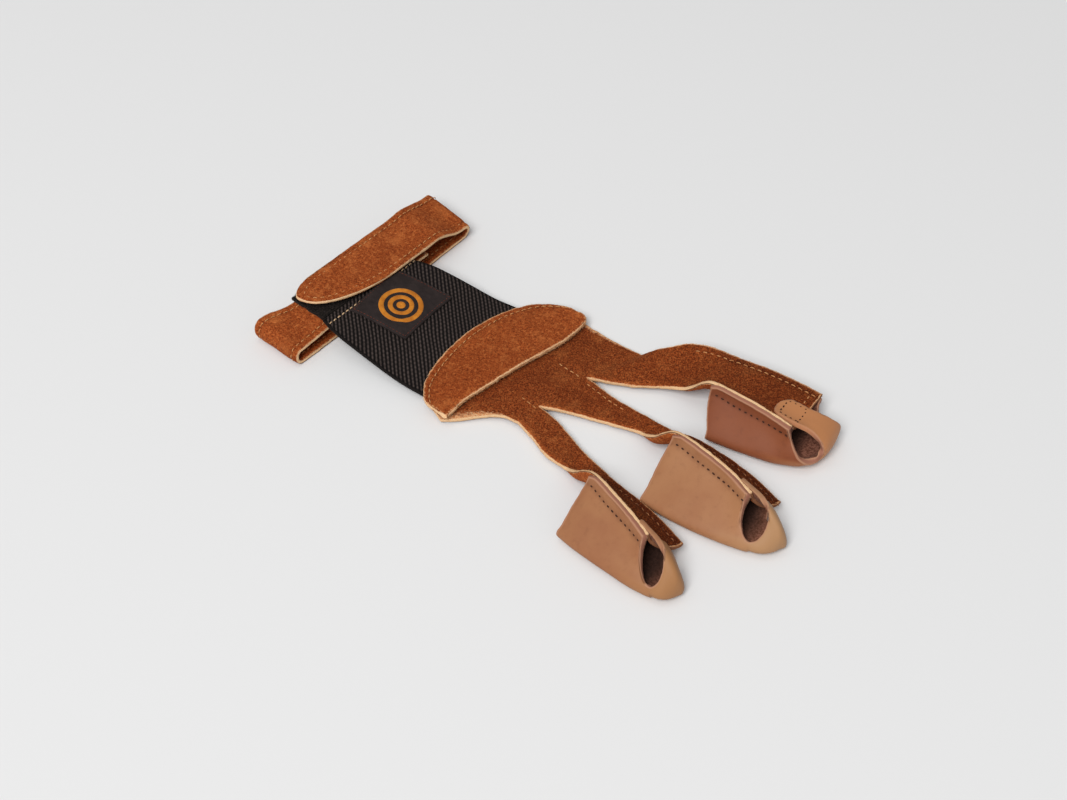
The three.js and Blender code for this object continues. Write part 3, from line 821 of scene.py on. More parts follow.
def make_sheet(
    name, grids, thickness, material, rim=0.35, ragged=0.0, edge=1.0, band=1.2,
    relief=None, under_relief=None, marks=None, under_marks=None, rim_marks=None,
):
    points, faces, normals, place, face_normals = weld(grids)
    count = len(points)

    def gathered(parts):
        values = np.zeros(count)
        if parts is not None:
            values[place] = np.concatenate([part.ravel() for part in parts])
        return values

    edges = np.concatenate([faces[:, [k, (k + 1) % 4]] for k in range(4)])
    owner = np.tile(np.arange(len(faces)), 4)
    keys = edges[:, 0] * count + edges[:, 1]
    border = ~np.isin(keys, edges[:, 1] * count + edges[:, 0])
    edges, owner = edges[border], owner[border]
    outward = np.zeros_like(points)
    away = np.cross(points[edges[:, 1]] - points[edges[:, 0]], face_normals[owner])
    np.add.at(outward, edges[:, 0], unit(away))
    np.add.at(outward, edges[:, 1], unit(away))
    outward -= normals * np.sum(outward * normals, axis=1, keepdims=True)
    outward = unit(outward)
    ring = np.unique(edges)
    inset = np.zeros(count)
    inset[ring] = rim - ragged * ripple(points[ring], 2.6, 5)
    middle = points - outward * inset[:, None]
    reach = distance_to(points, points[ring])
    half = thickness / 2 * lerp(edge, 1, smooth(reach / SHOULDER))
    upper = middle + normals * (half + gathered(relief))[:, None]
    lower = middle - normals * (half + gathered(under_relief))[:, None]
    layers = [upper, lower]
    near = clamp(1 - reach / band)
    masks = [
        np.stack([near, np.zeros(count), gathered(marks)], -1),
        np.stack([near, np.ones(count), gathered(under_marks)], -1),
    ]
    rows = [ring]
    rim_mark = gathered(rim_marks)[ring]
    for k in range(1, RIM_STEPS):
        angle = math.pi * (0.5 - k / RIM_STEPS)
        bulge = abs(math.cos(angle)) ** 0.6
        rise = math.copysign(abs(math.sin(angle)) ** 0.7, angle)
        rows.append(2 * count + (k - 1) * len(ring) + np.arange(len(ring)))
        level = lerp(lower[ring], upper[ring], (1 + rise) / 2)
        layers.append(level + outward[ring] * rim * bulge)
        depth = np.full(len(ring), k / RIM_STEPS)
        masks.append(np.stack([np.ones(len(ring)), depth, rim_mark], -1))
    rows.append(count + ring)
    faces_out = [faces, (faces + count)[:, ::-1]]
    where = np.zeros(count, int)
    where[ring] = np.arange(len(ring))
    a, b = where[edges[:, 0]], where[edges[:, 1]]
    for above, below in zip(rows, rows[1:]):
        faces_out.append(np.stack([above[b], above[a], below[a], below[b]], -1))
    return make_piece(
        name, np.concatenate(layers), np.concatenate(faces_out), material,
        np.concatenate(masks),
    )


# Distance of each grid point from its row's first and last column
def edge_distances(grid):
    steps = np.linalg.norm(np.diff(grid, axis=1), axis=2)
    place = np.concatenate([np.zeros((len(grid), 1)), np.cumsum(steps, axis=1)], axis=1)
    return place, place[:, -1:] - place


# A line on a grid at a set distance from its first (side 0) or last (side 1) column, with the
# surface normals along it
def inset_line(grid, normals, side, inset):
    if side:
        grid, normals = grid[:, ::-1], normals[:, ::-1]
    place = edge_distances(grid)[0]
    insets = np.broadcast_to(inset, len(grid))
    line, lean = (
        np.array([read_along(*row) for row in zip(insets, place, values)])
        for values in (grid, normals)
    )
    return line, unit(lean)


# A run of stitches: a line lifted off the middle surface, without some points at its ends
def stitch_run(line, normals, height, skipped=0):
    part = slice(skipped, len(line) - skipped)
    return line[part] + normals[part] * height, normals[part]


def length_along(line):
    return np.concatenate([[0], np.cumsum(np.linalg.norm(np.diff(line, axis=0), axis=1))])


# Points at equal steps along a line: their places, directions over SPAN each way, and normals
SPAN = 0.4


def stations(line, normals, pitch):
    reach = length_along(line)
    count = max(1, int((reach[-1] - pitch / 2) / pitch) + 1)
    at = (0.5 + np.arange(count)) * pitch
    at = at[at < reach[-1]]
    ahead = read_along(np.minimum(at + SPAN, reach[-1]), reach, line)
    ahead = ahead - read_along(np.maximum(at - SPAN, 0), reach, line)
    return read_along(at, reach, line), unit(ahead), unit(read_along(at, reach, normals))


# One stitch, as shares of its half length (along), its lift and its radius
STITCH = table("along lift girth", [
    (-1, -1.6, 0.55),
    (-0.86, -0.3, 0.9),
    (-0.5, 0.45, 1),
    (0, 0.7, 1.05),
    (0.5, 0.45, 1),
    (0.86, -0.3, 0.9),
    (1, -1.6, 0.55),
])


# Pitch, length and thread radius of each kind of stitch
SUEDE_STITCH = (2.7, 1.8, 0.2)
SOILED_SHADED_STITCH = (2.7, 1.5, 0.18)
ELASTIC_STITCH = (2.1, 1.4, 0.24)
PATCH_STITCH = (2.6, 1.8, 0.2)
LABEL_STITCH = (1.4, 1.1, 0.13)
SEAM_STITCH = (2.4, 1.3, 0.27)
TAB_STITCH = (2.1, 1.0, 0.24)


# Stitches along one or more lines on a surface, raised by level
def make_stitches(name, runs, material, pitch, length, radius, level=0.0):
    points = []
    faces = []
    sides = 6
    rng = np.random.default_rng(len(name))
    turn = np.arange(sides) * 2 * math.pi / sides
    for line, normals in runs:
        for centre, ahead, normal in zip(*stations(line, normals, pitch)):
            ahead = unit(ahead + 0.07 * rng.normal(size=3))
            beside = unit(np.cross(normal, ahead))
            first = len(points)
            for row in STITCH:
                middle = centre + ahead * row["along"] * length / 2
                middle = middle + normal * (level + row["lift"] * radius)
                for angle in turn:
                    swell = radius * row["girth"]
                    offset = beside * math.cos(angle) + normal * math.sin(angle) * 0.8
                    points.append(middle + offset * swell)
            rings = len(STITCH)
            for i in range(rings - 1):
                for k in range(sides):
                    a = first + i * sides + k
                    b = first + i * sides + (k + 1) % sides
                    faces.append((a, b, b + sides, a + sides))
            faces.append(tuple(first + k for k in range(sides))[::-1])
            faces.append(tuple(first + (rings - 1) * sides + k for k in range(sides)))
    make_piece(name, np.array(points), faces, material)


# Short fibres that stand out of a surface: each is a narrow bent blade
def make_fibres(name, roots, aims, length, width, material, seed, curl=0.5):
    rng = np.random.default_rng(seed)
    count = len(roots)
    aims = unit(aims + 0.45 * rng.normal(size=(count, 3)))
    beside = unit(np.cross(aims, rng.normal(size=(count, 3))))
    bend = unit(np.cross(aims, beside)) * curl
    reach = (length * rng.uniform(0.5, 1.2, count))[:, None]
    half = beside * width / 2
    mid = roots + aims * reach * 0.55
    tip = roots + (aims + bend) * reach
    points = np.stack([roots - half, roots + half, mid + half * 0.7, mid - half * 0.7, tip], 1)
    first = np.arange(count)[:, None] * 5
    quads = (first + np.array([0, 1, 2, 3])).tolist()
    tips = (first + np.array([3, 2, 4])).tolist()
    make_piece(name, points.reshape(-1, 3), quads + tips, material)


# Material nodes
class Nodes:
    def __init__(self, name):
        self.material = bpy.data.materials.new(name)
        self.material.use_nodes = True
        self.tree = self.material.node_tree
        self.shader = self.tree.nodes["Principled BSDF"]
        self.place = self.add("ShaderNodeTexCoord").outputs["Object"]

    def add(self, kind, settings=None, **inputs):
        made = self.tree.nodes.new(kind)
        for key, value in (settings or {}).items():
            setattr(made, key, value)
        for key, value in inputs.items():
            socket = made.inputs[int(key[1:]) if key[0] == "i" and key[1:].isdigit() else key]
            self.feed(socket, value)
        return made

    def feed(self, socket, value):
        if isinstance(value, bpy.types.NodeSocket):
            self.tree.links.new(value, socket)
        else:
            socket.default_value = value

    # A noise whose patches are about size millimetres across
    def noise(self, size, detail, rough):
        made = self.add(
            "ShaderNodeTexNoise", Vector=self.place, Scale=1000 / size, Detail=detail,
            Roughness=rough,
        )
        return made.outputs[0]

    def ramp(self, value, low, high):
        made = self.add(
            "ShaderNodeMapRange", {"interpolation_type": "SMOOTHSTEP"},
            Value=value, i1=low, i2=high,
        )
        return made.outputs[0]

    def mix(self, factor, a, b):
        made = self.add("ShaderNodeMix", {"data_type": "RGBA"}, i0=factor, i6=a, i7=b)
        return made.outputs[2]

    def math(self, operation, a, b=0.0):
        return self.add("ShaderNodeMath", {"operation": operation}, i0=a, i1=b).outputs[0]

    def times(self, a, b):
        return self.math("MULTIPLY", a, b)

    # A colour laid over another as a value goes from low to high, at most by strength
    def layer(self, colour, over, value, low, high, strength=1):
        factor = self.ramp(value, low, high)
        if strength != 1:
            factor = self.times(factor, strength)
        return self.mix(factor, colour, over)

    # A mask whose edge a noise breaks up
    def broken(self, mask, noise, amount):
        return self.math("ADD", mask, self.times(self.math("SUBTRACT", noise, 0.5), amount))

    # The rim, inner-face and marks channels of the piece's mask
    def masks(self):
        mask = self.add("ShaderNodeAttribute", {"attribute_name": "mask"}).outputs["Color"]
        split = self.add("ShaderNodeSeparateColor", Color=mask)
        return split.outputs[0], split.outputs[1], split.outputs[2]

    # A bump up to distance millimetres high, over another one where there is one
    def bump(self, height, strength, distance, normal=None):
        made = self.add(
            "ShaderNodeBump", Height=height, Strength=strength, Distance=distance / 1000
        )
        if normal is not None:
            self.feed(made.inputs["Normal"], normal)
        return made.outputs[0]

    def finish(self, colour, roughness, normal=None, sheen=0.0, tint=(1, 1, 1, 1), specular=0.5):
        self.feed(self.shader.inputs["Base Color"], colour)
        self.feed(self.shader.inputs["Roughness"], roughness)
        if normal is not None:
            self.feed(self.shader.inputs["Normal"], normal)
        self.shader.inputs["Specular IOR Level"].default_value = specular
        self.shader.inputs["Sheen Weight"].default_value = sheen
        self.shader.inputs["Sheen Roughness"].default_value = 0.4
        self.shader.inputs["Sheen Tint"].default_value = tint
        return self.material


# A colour from its red, green and blue out of 255, as the screen shows it
def rgb(red, green, blue):
    linear = []
    for value in (red, green, blue):
        share = value / 255
        linear.append(share / 12.92 if share <= 0.04045 else ((share + 0.055) / 1.055) ** 2.4)
    return (*linear, 1.0)


# Napped suede, mottled at three scales, with a pale fibrous cut rim and darker marks, partly dirt
# and partly painted shade. The rim is pale towards the outer face and darker towards the inner
# one, partly dirt and partly painted shade where the edge meets the floor.
def suede_material(name, dark, body, light, pale, soil_and_shade):
    nodes = Nodes(name)
    rim, inner, marks = nodes.masks()
    nap = nodes.noise(0.5, 4, 0.75)
    tufts = nodes.noise(1.1, 3, 0.65)
    patches = nodes.noise(7, 3, 0.6)
    cloud = nodes.noise(26, 2, 0.5)
    strands = nodes.noise(0.4, 3, 0.7)
    colour = nodes.layer(dark, body, nap, 0.35, 0.64)
    colour = nodes.layer(colour, light, tufts, 0.5, 0.72, 0.55)
    colour = nodes.layer(colour, dark, tufts, 0.48, 0.3, 0.35)
    colour = nodes.layer(colour, light, patches, 0.5, 0.72, 0.3)
    colour = nodes.layer(colour, dark, cloud, 0.55, 0.35, 0.25)
    # Marks darken the suede: partly wear, partly painted shade in stitch furrows and on the straps
    # over the stalls
    wear_and_shade = nodes.times(marks, nodes.math("ADD", nodes.ramp(nap, 0.75, 0.3), 0.35))
    colour = nodes.layer(colour, soil_and_shade, wear_and_shade, 0, 1)
    face = nodes.layer(light, pale, strands, 0.35, 0.65)
    colour = nodes.layer(colour, face, nodes.broken(rim, tufts, 1.3), 0.45, 0.95, 0.8)
    cut = nodes.layer(nodes.mix(0.6, light, pale), pale, strands, 0.3, 0.6)
    # The rim's lower part darkens: partly dirt, partly painted shade where the edge meets the floor
    cut = nodes.layer(cut, soil_and_shade, inner, 0.7, 0.95)
    cut = nodes.mix(nodes.times(marks, 0.85), cut, dark)
    edge = nodes.times(nodes.ramp(rim, 0.9, 0.99), nodes.ramp(inner, 0.02, 0.12))
    colour = nodes.mix(edge, colour, cut)
    normal = nodes.bump(nap, 0.7, 0.22, nodes.bump(tufts, 0.3, 0.25))
    return nodes.finish(colour, 0.95, normal, sheen=0.2, tint=light, specular=0.08)


# Smooth leather outside, pink and napped inside, with a two-tone cut rim. Marks darken it where
# they are above zero, and pale it where they are below. On the outer face the darkening is painted
# shade along the seam and the paling is painted light on the tongue; on the inner face the marks
# paint shade inside the stall.
def leather_material(name, body, warm, shade, painted_light_tone):
    flesh = rgb(154, 102, 82)
    rim_pale = rgb(176, 128, 100)
    recess_shade = rgb(20, 9, 6)
    nodes = Nodes(name)
    rim, inner, marks = nodes.masks()
    cloud = nodes.noise(16, 3, 0.55)
    grain = nodes.noise(2.4, 4, 0.6)
    nap = nodes.noise(0.8, 4, 0.7)
    pores = nodes.noise(0.5, 3, 0.6)
    colour = nodes.layer(body, warm, cloud, 0.3, 0.7)
    colour = nodes.layer(colour, shade, grain, 0.5, 0.8, 0.2)
    outside = nodes.math("SUBTRACT", 1.0, inner)
    # Painted shade along the seam, from marks above zero on the outer face
    colour = nodes.mix(nodes.times(marks, outside), colour, shade)
    # Painted light on the tongue, from marks below zero
    colour = nodes.mix(nodes.times(marks, -1.0), colour, painted_light_tone)
    colour = nodes.layer(colour, rim_pale, nodes.broken(rim, grain, 0.9), 0.15, 0.75, 0.7)
    fuzzy = nodes.layer(shade, flesh, nap, 0.3, 0.7)
    colour = nodes.layer(colour, fuzzy, inner, 0.55, 0.8)
    from_middle = nodes.math("ABSOLUTE", nodes.math("SUBTRACT", inner, 0.5))
    cut = nodes.layer(flesh, rim_pale, from_middle, 0.05, 0.3)
    # The tab's cut rim takes the painted light too
    cut = nodes.mix(nodes.times(marks, -0.8), cut, painted_light_tone)
    edge = nodes.times(nodes.ramp(rim, 0.85, 0.98), nodes.ramp(inner, 0.02, 0.14))
    colour = nodes.mix(edge, colour, cut)
    # Painted shade inside the stall, from marks on the inner face
    colour = nodes.mix(nodes.times(nodes.times(marks, inner), 0.9), colour, recess_shade)
    normal = nodes.bump(grain, 0.18, 0.3, nodes.bump(pores, 0.12, 0.1))
    normal = nodes.bump(nodes.times(nap, inner), 0.6, 0.3, normal)
    roughness = nodes.math("ADD", nodes.times(inner, 0.35), 0.55)
    tint = (1, 0.85, 0.7, 1)
    return nodes.finish(colour, roughness, normal, sheen=0.04, tint=tint, specular=0.22)


# Elastic webbing: marks are high on the ribs and low in the grooves between them, where the dark
# groove colour is painted shade
def elastic_material(name, groove, rib, dull, rim_black):
    nodes = Nodes(name)
    rim, _, marks = nodes.masks()
    yarn = nodes.noise(0.7, 3, 0.7)
    # Painted shade in the grooves between the ribs
    colour = nodes.layer(groove, rib, marks, 0.2, 0.9)
    colour = nodes.layer(colour, dull, yarn, 0.42, 0.7, 0.6)
    colour = nodes.layer(colour, rim_black, rim, 0.4, 0.9)
    normal = nodes.bump(yarn, 0.5, 0.25)
    tint = (0.8, 0.65, 0.58, 1)
    return nodes.finish(colour, 0.8, normal, sheen=0.05, tint=tint, specular=0.12)


# A plain dyed cloth or pile
def cloth_material(name, dark, light, size, roughness, sheen, specular=0.3):
    nodes = Nodes(name)
    yarn = nodes.noise(size, 3, 0.65)
    colour = nodes.layer(dark, light, yarn, 0.35, 0.7)
    normal = nodes.bump(yarn, 0.45, 0.2)
    tint = (0.8, 0.8, 0.8, 1)
    return nodes.finish(colour, roughness, normal, sheen, tint, specular)


# The label's close weave, from two crossed sets of fine threads
def label_material(name, dark, light, pitch):
    nodes = Nodes(name)
    split = nodes.add("ShaderNodeSeparateXYZ", Vector=nodes.place)
    turns = 2 * math.pi * 1000 / pitch
    warp, weft = (nodes.math("SINE", nodes.times(split.outputs[k], turns)) for k in (0, 1))
    weave = nodes.times(warp, weft)
    tone = nodes.math("ADD", nodes.times(weave, 0.25), nodes.noise(3, 3, 0.6))
    colour = nodes.layer(dark, light, tone, 0.2, 0.85)
    normal = nodes.bump(weave, 0.3, 0.12)
    tint = (1, 0.9, 0.86, 1)
    return nodes.finish(colour, 0.7, normal, sheen=0.08, tint=tint, specular=0.2)


# Every material of the glove
suede = suede_material(
    "rust suede", rgb(98, 39, 15), rgb(174, 87, 40), rgb(208, 124, 66), rgb(232, 196, 152),
    rgb(62, 22, 8),
)
fringe = cloth_material("pale suede fibre", rgb(176, 112, 60), rgb(228, 188, 140), 1.2, 0.9, 0.2)
cream_thread = cloth_material("cream thread", rgb(168, 104, 54), rgb(214, 158, 102), 0.5, 0.8, 0.1)
pale_thread = cloth_material("pale thread", rgb(176, 136, 96), rgb(226, 196, 156), 0.5, 0.8, 0.1)
# A darker copy of the cream thread for the ring and middle straps: partly dirt, partly painted shade
soiled_shaded_thread = cloth_material("soiled and shaded thread", rgb(84, 42, 22), rgb(176, 116, 72), 1.4, 0.8, 0.05)
rust_thread = cloth_material("rust thread", rgb(70, 30, 20), rgb(112, 56, 40), 0.5, 0.8, 0.05)
brown_thread = cloth_material("brown thread", rgb(40, 18, 9), rgb(78, 40, 22), 0.5, 0.8, 0.05)
orange_thread = label_material("orange target thread", rgb(160, 88, 20), rgb(216, 138, 40), 0.5)
label_cloth = label_material("charcoal label weave", rgb(29, 22, 21), rgb(50, 40, 38), 0.45)
# Its groove colour is painted shade between the ribs
elastic_black = elastic_material(
    "black ribbed elastic", rgb(9, 6, 6), rgb(78, 67, 63), rgb(16, 12, 11), rgb(22, 17, 16)
)
pile_black = cloth_material("black tape pile", rgb(8, 6, 5), rgb(44, 36, 32), 0.6, 0.9, 0.1, 0.15)
# Each stall's tones: body, warm, shade, and a lighter tone for the painted light on its tongue
LEATHER_TONES = {
    "ring": (rgb(160, 110, 74), rgb(150, 98, 66), rgb(98, 56, 35), rgb(162, 115, 75)),
    "middle": (rgb(166, 116, 79), rgb(156, 104, 70), rgb(102, 60, 38), rgb(170, 128, 90)),
    "index": (rgb(136, 76, 47), rgb(126, 68, 42), rgb(82, 42, 27), rgb(184, 124, 80)),
}
leathers = {
    name: leather_material(name + " stall leather", *tones)
    for name, tones in LEATHER_TONES.items()
}

# Depth of the furrow that a row of stitches pulls, and its half width
FURROW_DEPTH = 0.28
FURROW_WIDTH = 0.8

# How much thicker the suede is made than its solid, and how far its stitches lie inside its edge
NAP = 0.12
SUEDE_INSET = 2.7


def furrow(distance, inset):
    return np.exp(-(((distance - inset) / FURROW_WIDTH) ** 2))


# Wrist strap: stitched inside both edges and round the tab
def build_wrist_strap():
    grid = strap_spots(across_sides(33), 0.0)
    normals = grid_normals([grid])[0]
    left, right = edge_distances(grid)
    groove = np.maximum(furrow(left, SUEDE_INSET), furrow(right, SUEDE_INSET))
    relief = wrinkles(grid, (0.12, 9, 1), (0.05, 3, 2)) - FURROW_DEPTH * groove
    # The stitch furrows are darkened through the marks: painted shade
    strap = make_sheet(
        "wrist_strap_suede", [grid], SUEDE + NAP, suede, ragged=0.12, edge=0.68,
        band=0.9, relief=[relief], under_relief=[relief * 0.6], marks=[0.4 * groove],
    )
    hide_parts("wrist_strap")
    rear, front = (strap_spots(np.full((1, 1), side), SUEDE_INSET)[:-1, 0] for side in (-1.0, 1.0))
    nose = strap_spots(across_sides(41), SUEDE_INSET)[-1]
    outline = np.concatenate([rear, nose, front[::-1]])
    tip = np.tile(normals[-1, 16], (len(nose), 1))
    lean = np.concatenate([normals[:-1, 0], tip, normals[:-1, -1][::-1]])
    runs = [stitch_run(outline, face * lean, SUEDE / 2 - 0.08) for face in (1, -1)]
    make_stitches("wrist_strap_stitches", runs, cream_thread, *SUEDE_STITCH)


build_wrist_strap()

# Fibres on each pile tape: their number, length and width
PILE_COUNT = 5200
PILE_LENGTH = 0.6
PILE_WIDTH = 0.1


# Pile tapes: a slab with many short fibres on its outer face
def build_tapes():
    for name, size, level, seed, facing in (
        ("loop_tape", (LOOP_WIDTH, LOOP_LENGTH, LOOP_MIDDLE), LOOP_LEVEL, 3, 1),
        ("hook_tape", (HOOK_WIDTH, HOOK_LENGTH, HOOK_MIDDLE), HOOK_LEVEL, 4, -1),
    ):
        grid = tape_grid(*size, level)
        relief = wrinkles(grid, (0.1, 1.3, seed))
        tape = make_sheet(
            name + "_pile", [grid], TAPE + 0.1, pile_black, ragged=0.2,
            relief=[relief], under_relief=[relief],
        )
        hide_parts(name)
        rng = np.random.default_rng(seed)
        width, length, middle = size
        along = TAPE_ALONG + rng.uniform(-0.5, 0.5, PILE_COUNT) * width
        across = middle + rng.uniform(-0.5, 0.5, PILE_COUNT) * length
        roots = wrist_spot(along, across, level + facing * TAPE / 2)
        aims = np.tile([0.0, 0.0, float(facing)], (PILE_COUNT, 1))
        make_fibres(name + "_fibres", roots, aims, PILE_LENGTH, PILE_WIDTH, pile_black, seed)


build_tapes()

# Ribs of the elastic: their spacing, height and direction from +X, in degrees, and the length of
# the yarn's beads along them
RIB_PITCH = 1.36
RIB_HEIGHT = 0.22
RIB_HEADING = 133
BEAD_LENGTH = 1.9
ELASTIC_INSET = 3.6


def build_elastic():
    grid = elastic_grid()
    normals = grid_normals([grid])[0]
    heading = math.radians(RIB_HEADING + 90)
    across_ribs = grid[..., 0] * math.cos(heading) + grid[..., 1] * math.sin(heading)
    along_ribs = grid[..., 1] * math.cos(heading) - grid[..., 0] * math.sin(heading)
    count = (across_ribs + wrinkles(grid, (0.12, 14, 6))) / RIB_PITCH
    bead = 0.82 + 0.18 * np.cos(2 * math.pi * (along_ribs / BEAD_LENGTH + 0.5 * np.round(count)))
    wave = bead * (0.5 + 0.5 * np.cos(2 * math.pi * count))
    left, right = edge_distances(grid)
    fade = smooth(np.minimum(left, right) / 1.2)
    relief = RIB_HEIGHT * (wave - 0.5) * fade + wrinkles(grid, (0.1, 18, 7))
    band = make_sheet(
        "elastic_band_webbing", [grid], WEBBING, elastic_black, rim=0.5,
        relief=[relief], under_relief=[relief * 0.5], marks=[wave * fade],
    )
    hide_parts("elastic_band")
    line, lean = inset_line(turned(grid), turned(normals), 0, ELASTIC_INSET)
    runs = [stitch_run(line, lean, WEBBING / 2, 3)]
    make_stitches("elastic_wrist_stitches", runs, pale_thread, *ELASTIC_STITCH)


build_elastic()


# Label: a small woven patch with a target worked in orange
LABEL_INSET = 0.9


def build_label():
    grid = label_grid()
    inward = np.minimum(shares(LABEL_STEPS), 1 - shares(LABEL_STEPS))
    near = np.minimum(inward[:, None], inward[None, :])
    relief = 0.25 * smooth(near / 0.09) + wrinkles(grid, (0.08, 7, 8))
    patch = make_sheet(
        "label_weave", [grid], LABEL_CLOTH, label_cloth, rim=0.3,
        relief=[relief], ragged=0.08,
    )
    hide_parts("label")
    normals = grid_normals([grid])[0]
    border = [
        stitch_run(*inset_line(spots, leans, side, LABEL_INSET), LABEL_CLOTH / 2 - 0.12, 1)
        for spots, leans in ((grid, normals), (turned(grid), turned(normals)))
        for side in (0, 1)
    ]
    make_stitches("label_stitches", border, rust_thread, *LABEL_STITCH, level=0.15)
    build_target()


# The target's rings, as inner and outer radius, and their cross-section over half their width
TARGET_RINGS = ((0.0, 1.7), (3.0, 4.9), (6.3, 8.3))
TARGET_PROFILE = (
    (-1, -0.1), (-0.92, 0.1), (-0.45, 0.22), (0, 0.25), (0.45, 0.22), (0.92, 0.1), (1, -0.1),
)


def build_target():
    points = []
    faces = []
    around = 96
    turn = np.arange(around) * 2 * math.pi / around
    lift = (WEBBING + 2 * LABEL_CLOTH) / 2 + CLEARANCE / 3 + 0.25
    for inner, outer in TARGET_RINGS:
        first = len(points)
        for share, height in TARGET_PROFILE:
            radius = (inner + outer) / 2 + (outer - inner) / 2 * share
            x = TARGET_X + radius * np.cos(turn)
            y = TARGET_Y + radius * np.sin(turn)
            points.extend(spot(x, y, elastic_level(x, y) + lift + height * 0.7))
        for i in range(len(TARGET_PROFILE) - 1):
            for k in range(around):
                a = first + i * around + k
                b = first + i * around + (k + 1) % around
                faces.append((a, a + around, b + around, b))
    make_piece("label_target", np.array(points), faces, orange_thread)


build_label()


# Knuckle plate and finger straps, from one piece of suede
SEAM_INSET = 3.2
MIDDLE_INSET = 2.6
END_INSET = 2.2

# How dark the plate is; how much darker each strap is over its stall, partly dirt and partly
# painted shade; and the slits' stitch lines in the plate
PLATE_DARKENING = 0.5
STRAP_SOIL_AND_SHADE = {"ring": 0.86, "middle": 0.88, "index": 0.58}
SLITS = [
    ((-1.5, 17.2), (2, 16.6), (6, 16.3), (10, 15.6)),
    ((-2.5, -4.3), (1, -4.9), (5, -5.6)),
]

plate = plate_grid(PLATE_ROWS, STRAP_COLUMNS)
straps = {finger["name"]: strap_grid(finger, plate) for finger in FINGERS}
panel_grids = [plate, *straps.values()]
panel_normals = grid_normals(panel_grids)


# Where each row of a finger's strap lies along its stall, from 0 at the heel to 1
def stall_share(finger, grid):
    middle = grid[:, grid.shape[1] // 2]
    return (middle - finger_spot(finger, 0, 0, 0)) @ finger_step(finger, 1) / finger["length"]


def build_panel():
    waves = (0.12, 10, 11), (0.06, 3, 12)
    relief = wrinkles(plate, *waves)
    reliefs = [relief * smooth((1 - shares(PLATE_ROWS)) * 8)[:, None]]
    marks = [PLATE_DARKENING + 0 * relief]
    rims = [0 * relief]
    for finger, grid in zip(FINGERS, straps.values()):
        share = stall_share(finger, grid)[:, None]
        left, right = edge_distances(grid)
        groove = np.maximum(furrow(left, SEAM_INSET), furrow(right, SEAM_INSET))
        groove = groove * smooth((share + 0.2) * 4)
        row = np.arange(len(grid))[:, None]
        reliefs.append(wrinkles(grid, *waves) * smooth(row / 4) - FURROW_DEPTH * groove)
        # Each strap darkens over its stall: partly dirt, partly painted shade
        soil_and_shade = STRAP_SOIL_AND_SHADE[finger["name"]] - PLATE_DARKENING
        # The stitch furrows darken too: painted shade
        mark = PLATE_DARKENING + soil_and_shade * smooth((share + 0.45) / 0.6) + 0.3 * groove
        marks.append(clamp(mark * (0.3 + 0.7 * smooth(left / 2.2))))
        rims.append(smooth(1 - row[::-1] / 4) * smooth(left / 0.8))
    panel = make_sheet(
        "finger_panel_suede", panel_grids, SUEDE + NAP, suede, ragged=0.12,
        edge=0.78, band=1.0, relief=reliefs, under_relief=[r * 0.4 for r in reliefs],
        marks=marks, rim_marks=rims,
    )
    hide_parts("finger_panel")
    runs = []
    soiled_shaded_runs = []
    for finger, grid, normals in zip(FINGERS, panel_grids[1:], panel_normals[1:]):
        clean_and_unshaded = finger["name"] == "index"
        # The ring and middle straps' stitches take the darker thread: partly dirt, partly painted
        # shade
        taken = runs if clean_and_unshaded else soiled_shaded_runs
        rows = stall_share(finger, grid) > (-0.45 if clean_and_unshaded else 0.1)
        line, lean = inset_line(grid, normals, 1, SEAM_INSET)
        taken.append(stitch_run(line[rows], lean[rows], SUEDE / 2 - 0.05))
        end = grid[-2, 4:-3] - finger_step(finger, END_INSET)
        taken.append(stitch_run(end, normals[-2, 4:-3], SUEDE / 2))
    line, lean = inset_line(straps["middle"], panel_normals[2], 1, MIDDLE_INSET)
    runs.append(stitch_run(line[2:26], lean[2:26], SUEDE / 2))
    for slit in SLITS:
        x, y = np.array(slit, float).T
        line = line_through(spot(x, y, plate_level(y) + SUEDE / 2), 12)
        runs.append((line, np.tile([0.0, 0.0, 1.0], (len(line), 1))))
    make_stitches("finger_strap_stitches", runs, cream_thread, *SUEDE_STITCH)
    make_stitches("stall_strap_stitches", soiled_shaded_runs, soiled_shaded_thread, *SOILED_SHADED_STITCH)


build_panel()


# Pale fibres along lines, standing outwards and up: density is their number to a millimetre
FUZZ_WIDTH = 0.085


def edge_fuzz(name, lines, density, length, seed):
    rng = np.random.default_rng(seed)
    roots = []
    aims = []
    for line, outward, normals in lines:
        reach = length_along(line)
        at = rng.uniform(0, reach[-1], int(reach[-1] * density))
        root, out, up = (read_along(at, reach, part) for part in (line, outward, normals))
        level = rng.uniform(-0.3, 0.75, (len(at), 1))
        roots.append(root - out * 0.25 + up * level)
        aims.append(out * 0.8 + up * level)
    roots, aims = np.concatenate(roots), np.concatenate(aims)
    make_fibres(name, roots, aims, length, FUZZ_WIDTH, fringe, seed, curl=0.7)


# A border column of a grid, with its outward and normal directions
def border_line(grid, normals, side):
    edge, inner = (0, 1) if side == 0 else (-1, -2)
    return grid[:, edge], unit(grid[:, edge] - grid[:, inner]), normals[:, edge]


def build_fuzz():
    lines = [
        border_line(grid, normals, side)
        for grid, normals in zip(panel_grids[1:], panel_normals[1:])
        for side in (0, 1)
    ]
    lines.append(border_line(plate, panel_normals[0], 0))
    edge_fuzz("strap_fibres", lines, density=7, length=0.5, seed=41)
    grid = patch_grid()
    lean = turned(grid_normals([grid])[0])
    front, rear = ([border_line(turned(grid), lean, side)] for side in (1, 0))
    edge_fuzz("patch_front_fibres", front, density=45, length=0.8, seed=42)
    edge_fuzz("patch_rear_fibres", rear, density=10, length=0.5, seed=43)


build_fuzz()


